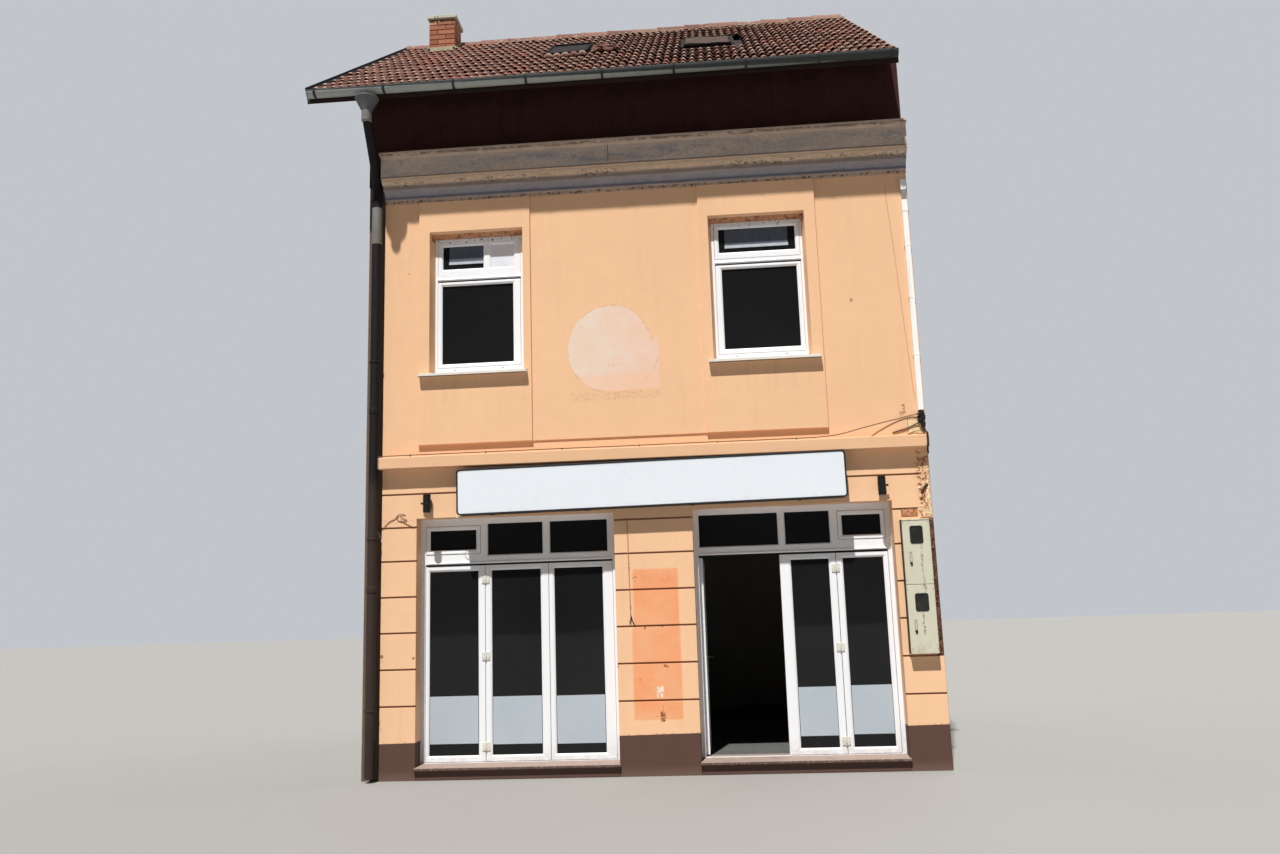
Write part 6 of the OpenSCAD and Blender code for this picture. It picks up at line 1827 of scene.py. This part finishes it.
    # the clump: short coils wound over each other
    for k in range(15):
        cx_, cz_ = 5.952 + rnd.uniform(-0.018, 0.018), 3.665 + rnd.uniform(-0.050, 0.045)
        rx, rz, ph = rnd.uniform(0.014, 0.036), rnd.uniform(0.020, 0.048), rnd.uniform(0, 6.28)
        turn = rnd.choice((-1, 1)) * rnd.uniform(3.6, 7.2)
        pts = []
        for i in range(9):
            a = ph + turn * i / 8
            pts.append((min(5.992, max(5.905, cx_ + rx * math.cos(a))), -0.010 - 0.004 * (k % 7) - 0.010 * abs(math.sin(a * 0.7 + k)), cz_ + rz * math.sin(a) + rnd.uniform(-0.006, 0.006)))
        b.tube(curve(pts, 3), rnd.choice((0.0045, 0.0055, 0.0065)), 7)
    # strands that run down and over the end of the string course
    for k in range(6):
        dx = 0.004 * k
        ins = -0.020 - 0.004 * (k % 3)
        pts = [(5.935 + dx, ins, 3.720 - 0.01 * k), (5.925 + 2 * dx + rnd.uniform(-0.01, 0.01), ins - 0.012, 3.655), (5.948 + dx, ins - 0.010, 3.600), (5.962 + dx * 0.8 + rnd.uniform(-0.012, 0.008), ins - 0.012, 3.545), (5.970 + dx * 0.6, -0.060, 3.500), (5.976 + dx * 0.5, -0.112, 3.486), (5.978 + dx * 0.5, -0.1285 - 0.001 * k, 3.462), (5.979 + dx * 0.4, -0.1290 - 0.001 * k, 3.400), (5.976 + dx * 0.4, -0.1290 - 0.001 * k, 3.335)]
        if k < 3:
            pts += [(5.972 + dx, -0.120, 3.300), (5.975 + dx, -0.105, 3.262 - 0.006 * k)]
        b.tube(curve(pts, 4), 0.0052 if k % 2 else 0.0062, 7)
    b.box(5.950, 5.982, -0.040, 0.0, 3.560, 3.606, 0.003)
    b.box(5.934, 5.970, -0.044, 0.0, 3.690, 3.742, 0.004)
    b.obj("wall_cable_run", MT["cable"], replaces=("wall_cables",), slot="cable_black", smooth=40)
    w1.obj("wall_cable_brown", MT["brown_wire"], slot="cable_black", smooth=40)
    w2.tube(curve([(5.985, -0.030, 3.640), (5.9945, -0.036, 3.600), (5.9945, -0.040, 3.556), (5.985, -0.044, 3.530)]), 0.0035, 7)
    w2.tube(curve([(5.955, -0.122, 3.455), (5.9635, -0.127, 3.430), (5.9635, -0.127, 3.385), (5.968, -0.124, 3.350)]), 0.0035, 7)
    w2.obj("tangle_pale_wires", MT["white_wire"], slot="cable_black", smooth=40)
    b = Bld()
    for x in (0.35, 1.2, 2.05, 2.9, 3.75, 4.6):
        b.prism([(-0.118, 3.463), (-0.1125, 3.4825), (-0.1045, 3.4855), (-0.0965, 3.4825), (-0.092, 3.464)], "x", x - 0.004, x + 0.004)
    b.obj("cable_clips", MT["rubber"], slot="cable_black")
    # conduit on the middle pier, its foot split into two frayed ends
    b = Bld()
    b.tube([(2.7305, -0.006, 2.70), (2.7325, -0.006, 2.55), (2.7360, -0.006, 2.20), (2.7395, -0.006, 1.85), (2.7415, -0.006, 1.655)], 0.0045, 10)
    for z in (2.60, 2.16, 1.74):
        b.box(2.7365 - 0.0121 * (z - 2.16) - 0.009, 2.7365 - 0.0121 * (z - 2.16) + 0.009, -0.0115, 0.001, z, z + 0.009, 0.0015)
    b.obj("pier_conduit", MT["conduit"], slot="peach_render", smooth=40)
    b = Bld()
    b.tube(curve([(2.7415, -0.006, 1.668), (2.7440, -0.009, 1.645), (2.7400, -0.010, 1.615), (2.7320, -0.010, 1.585), (2.7290, -0.008, 1.560)]), 0.0032, 8)
    b.tube(curve([(2.7415, -0.006, 1.662), (2.7500, -0.010, 1.640), (2.7600, -0.012, 1.600), (2.7740, -0.010, 1.568), (2.7880, -0.006, 1.540)]), 0.0038, 8)
    b.tube(curve([(2.7430, -0.008, 1.650), (2.7480, -0.014, 1.622), (2.7450, -0.014, 1.596), (2.7420, -0.012, 1.578)]), 0.0026, 8)
    b.obj("conduit_wire_ends", MT["cable"], slot="cable_black", smooth=40)
    # scrap of old cable tacked across the head of the left pier
    b, w2 = Bld(), Bld()
    b.tube(curve([(-0.010, 0.024, 2.640), (0.004, -0.002, 2.672), (0.028, -0.007, 2.695), (0.094, -0.006, 2.758), (0.153, -0.006, 2.785), (0.186, -0.010, 2.826), (0.228, -0.008, 2.832), (0.269, -0.005, 2.825)]), 0.0034, 8)
    b.tube(curve([(0.186, -0.008, 2.820), (0.178, -0.007, 2.779), (0.205, -0.006, 2.757), (0.236, -0.006, 2.753), (0.286, -0.007, 2.767), (0.253, -0.009, 2.785), (0.211, -0.012, 2.812)]), 0.0030, 8)
    b.tube(curve([(0.215, -0.006, 2.768), (0.250, -0.006, 2.742), (0.295, -0.006, 2.719), (0.340, -0.005, 2.695), (0.378, -0.003, 2.675)]), 0.0030, 8)
    b.obj("pier_cable_scrap", MT["brown_wire"], slot="cable_black", smooth=40)
    w2.tube(curve([(-0.089, 0.024, 2.699), (-0.060, 0.020, 2.655), (-0.030, 0.018, 2.600), (-0.004, 0.016, 2.540)]), 0.0030, 8)
    w2.tube(curve([(-0.080, 0.023, 2.705), (-0.038, 0.018, 2.640), (-0.010, 0.018, 2.575), (0.004, -0.004, 2.534)]), 0.0026, 8)
    w2.obj("pier_pale_strands", MT["white_wire"], slot="cable_black", smooth=40)

    softened("thresholds", MT["stone"], width=0.006)


# ---------------------------------------------------------------- floor
def build_stage():
    b = Bld()
    m = Mat("studio_floor", 0.85, 0.2)
    c = m.vary(C(152, 150, 147), m.noise(0.6, 4, 0.6), 0.985, 1.015)
    mat = m.done(c, 0.85, m.bump(m.noise(3, 3, 0.5), 0.002, 0.2))
    me = bpy.data.meshes.new("floor")
    r = 90.0
    me.from_pydata([(-r, -r, -0.001), (r, -r, -0.001), (r, r, -0.001), (-r, r, -0.001)], [], [(0, 1, 2, 3)])
    me.materials.append(mat)
    ob = bpy.data.objects.new("floor", me)
    bpy.context.scene.collection.objects.link(ob)


make_camera()
make_lights()
build_materials()
build_walls()
build_roof()
build_downpipe()
build_shopfronts()
build_door()
build_windows()
build_front_fittings()
build_stage()
bpy.context.scene.view_settings.view_transform = "Standard"
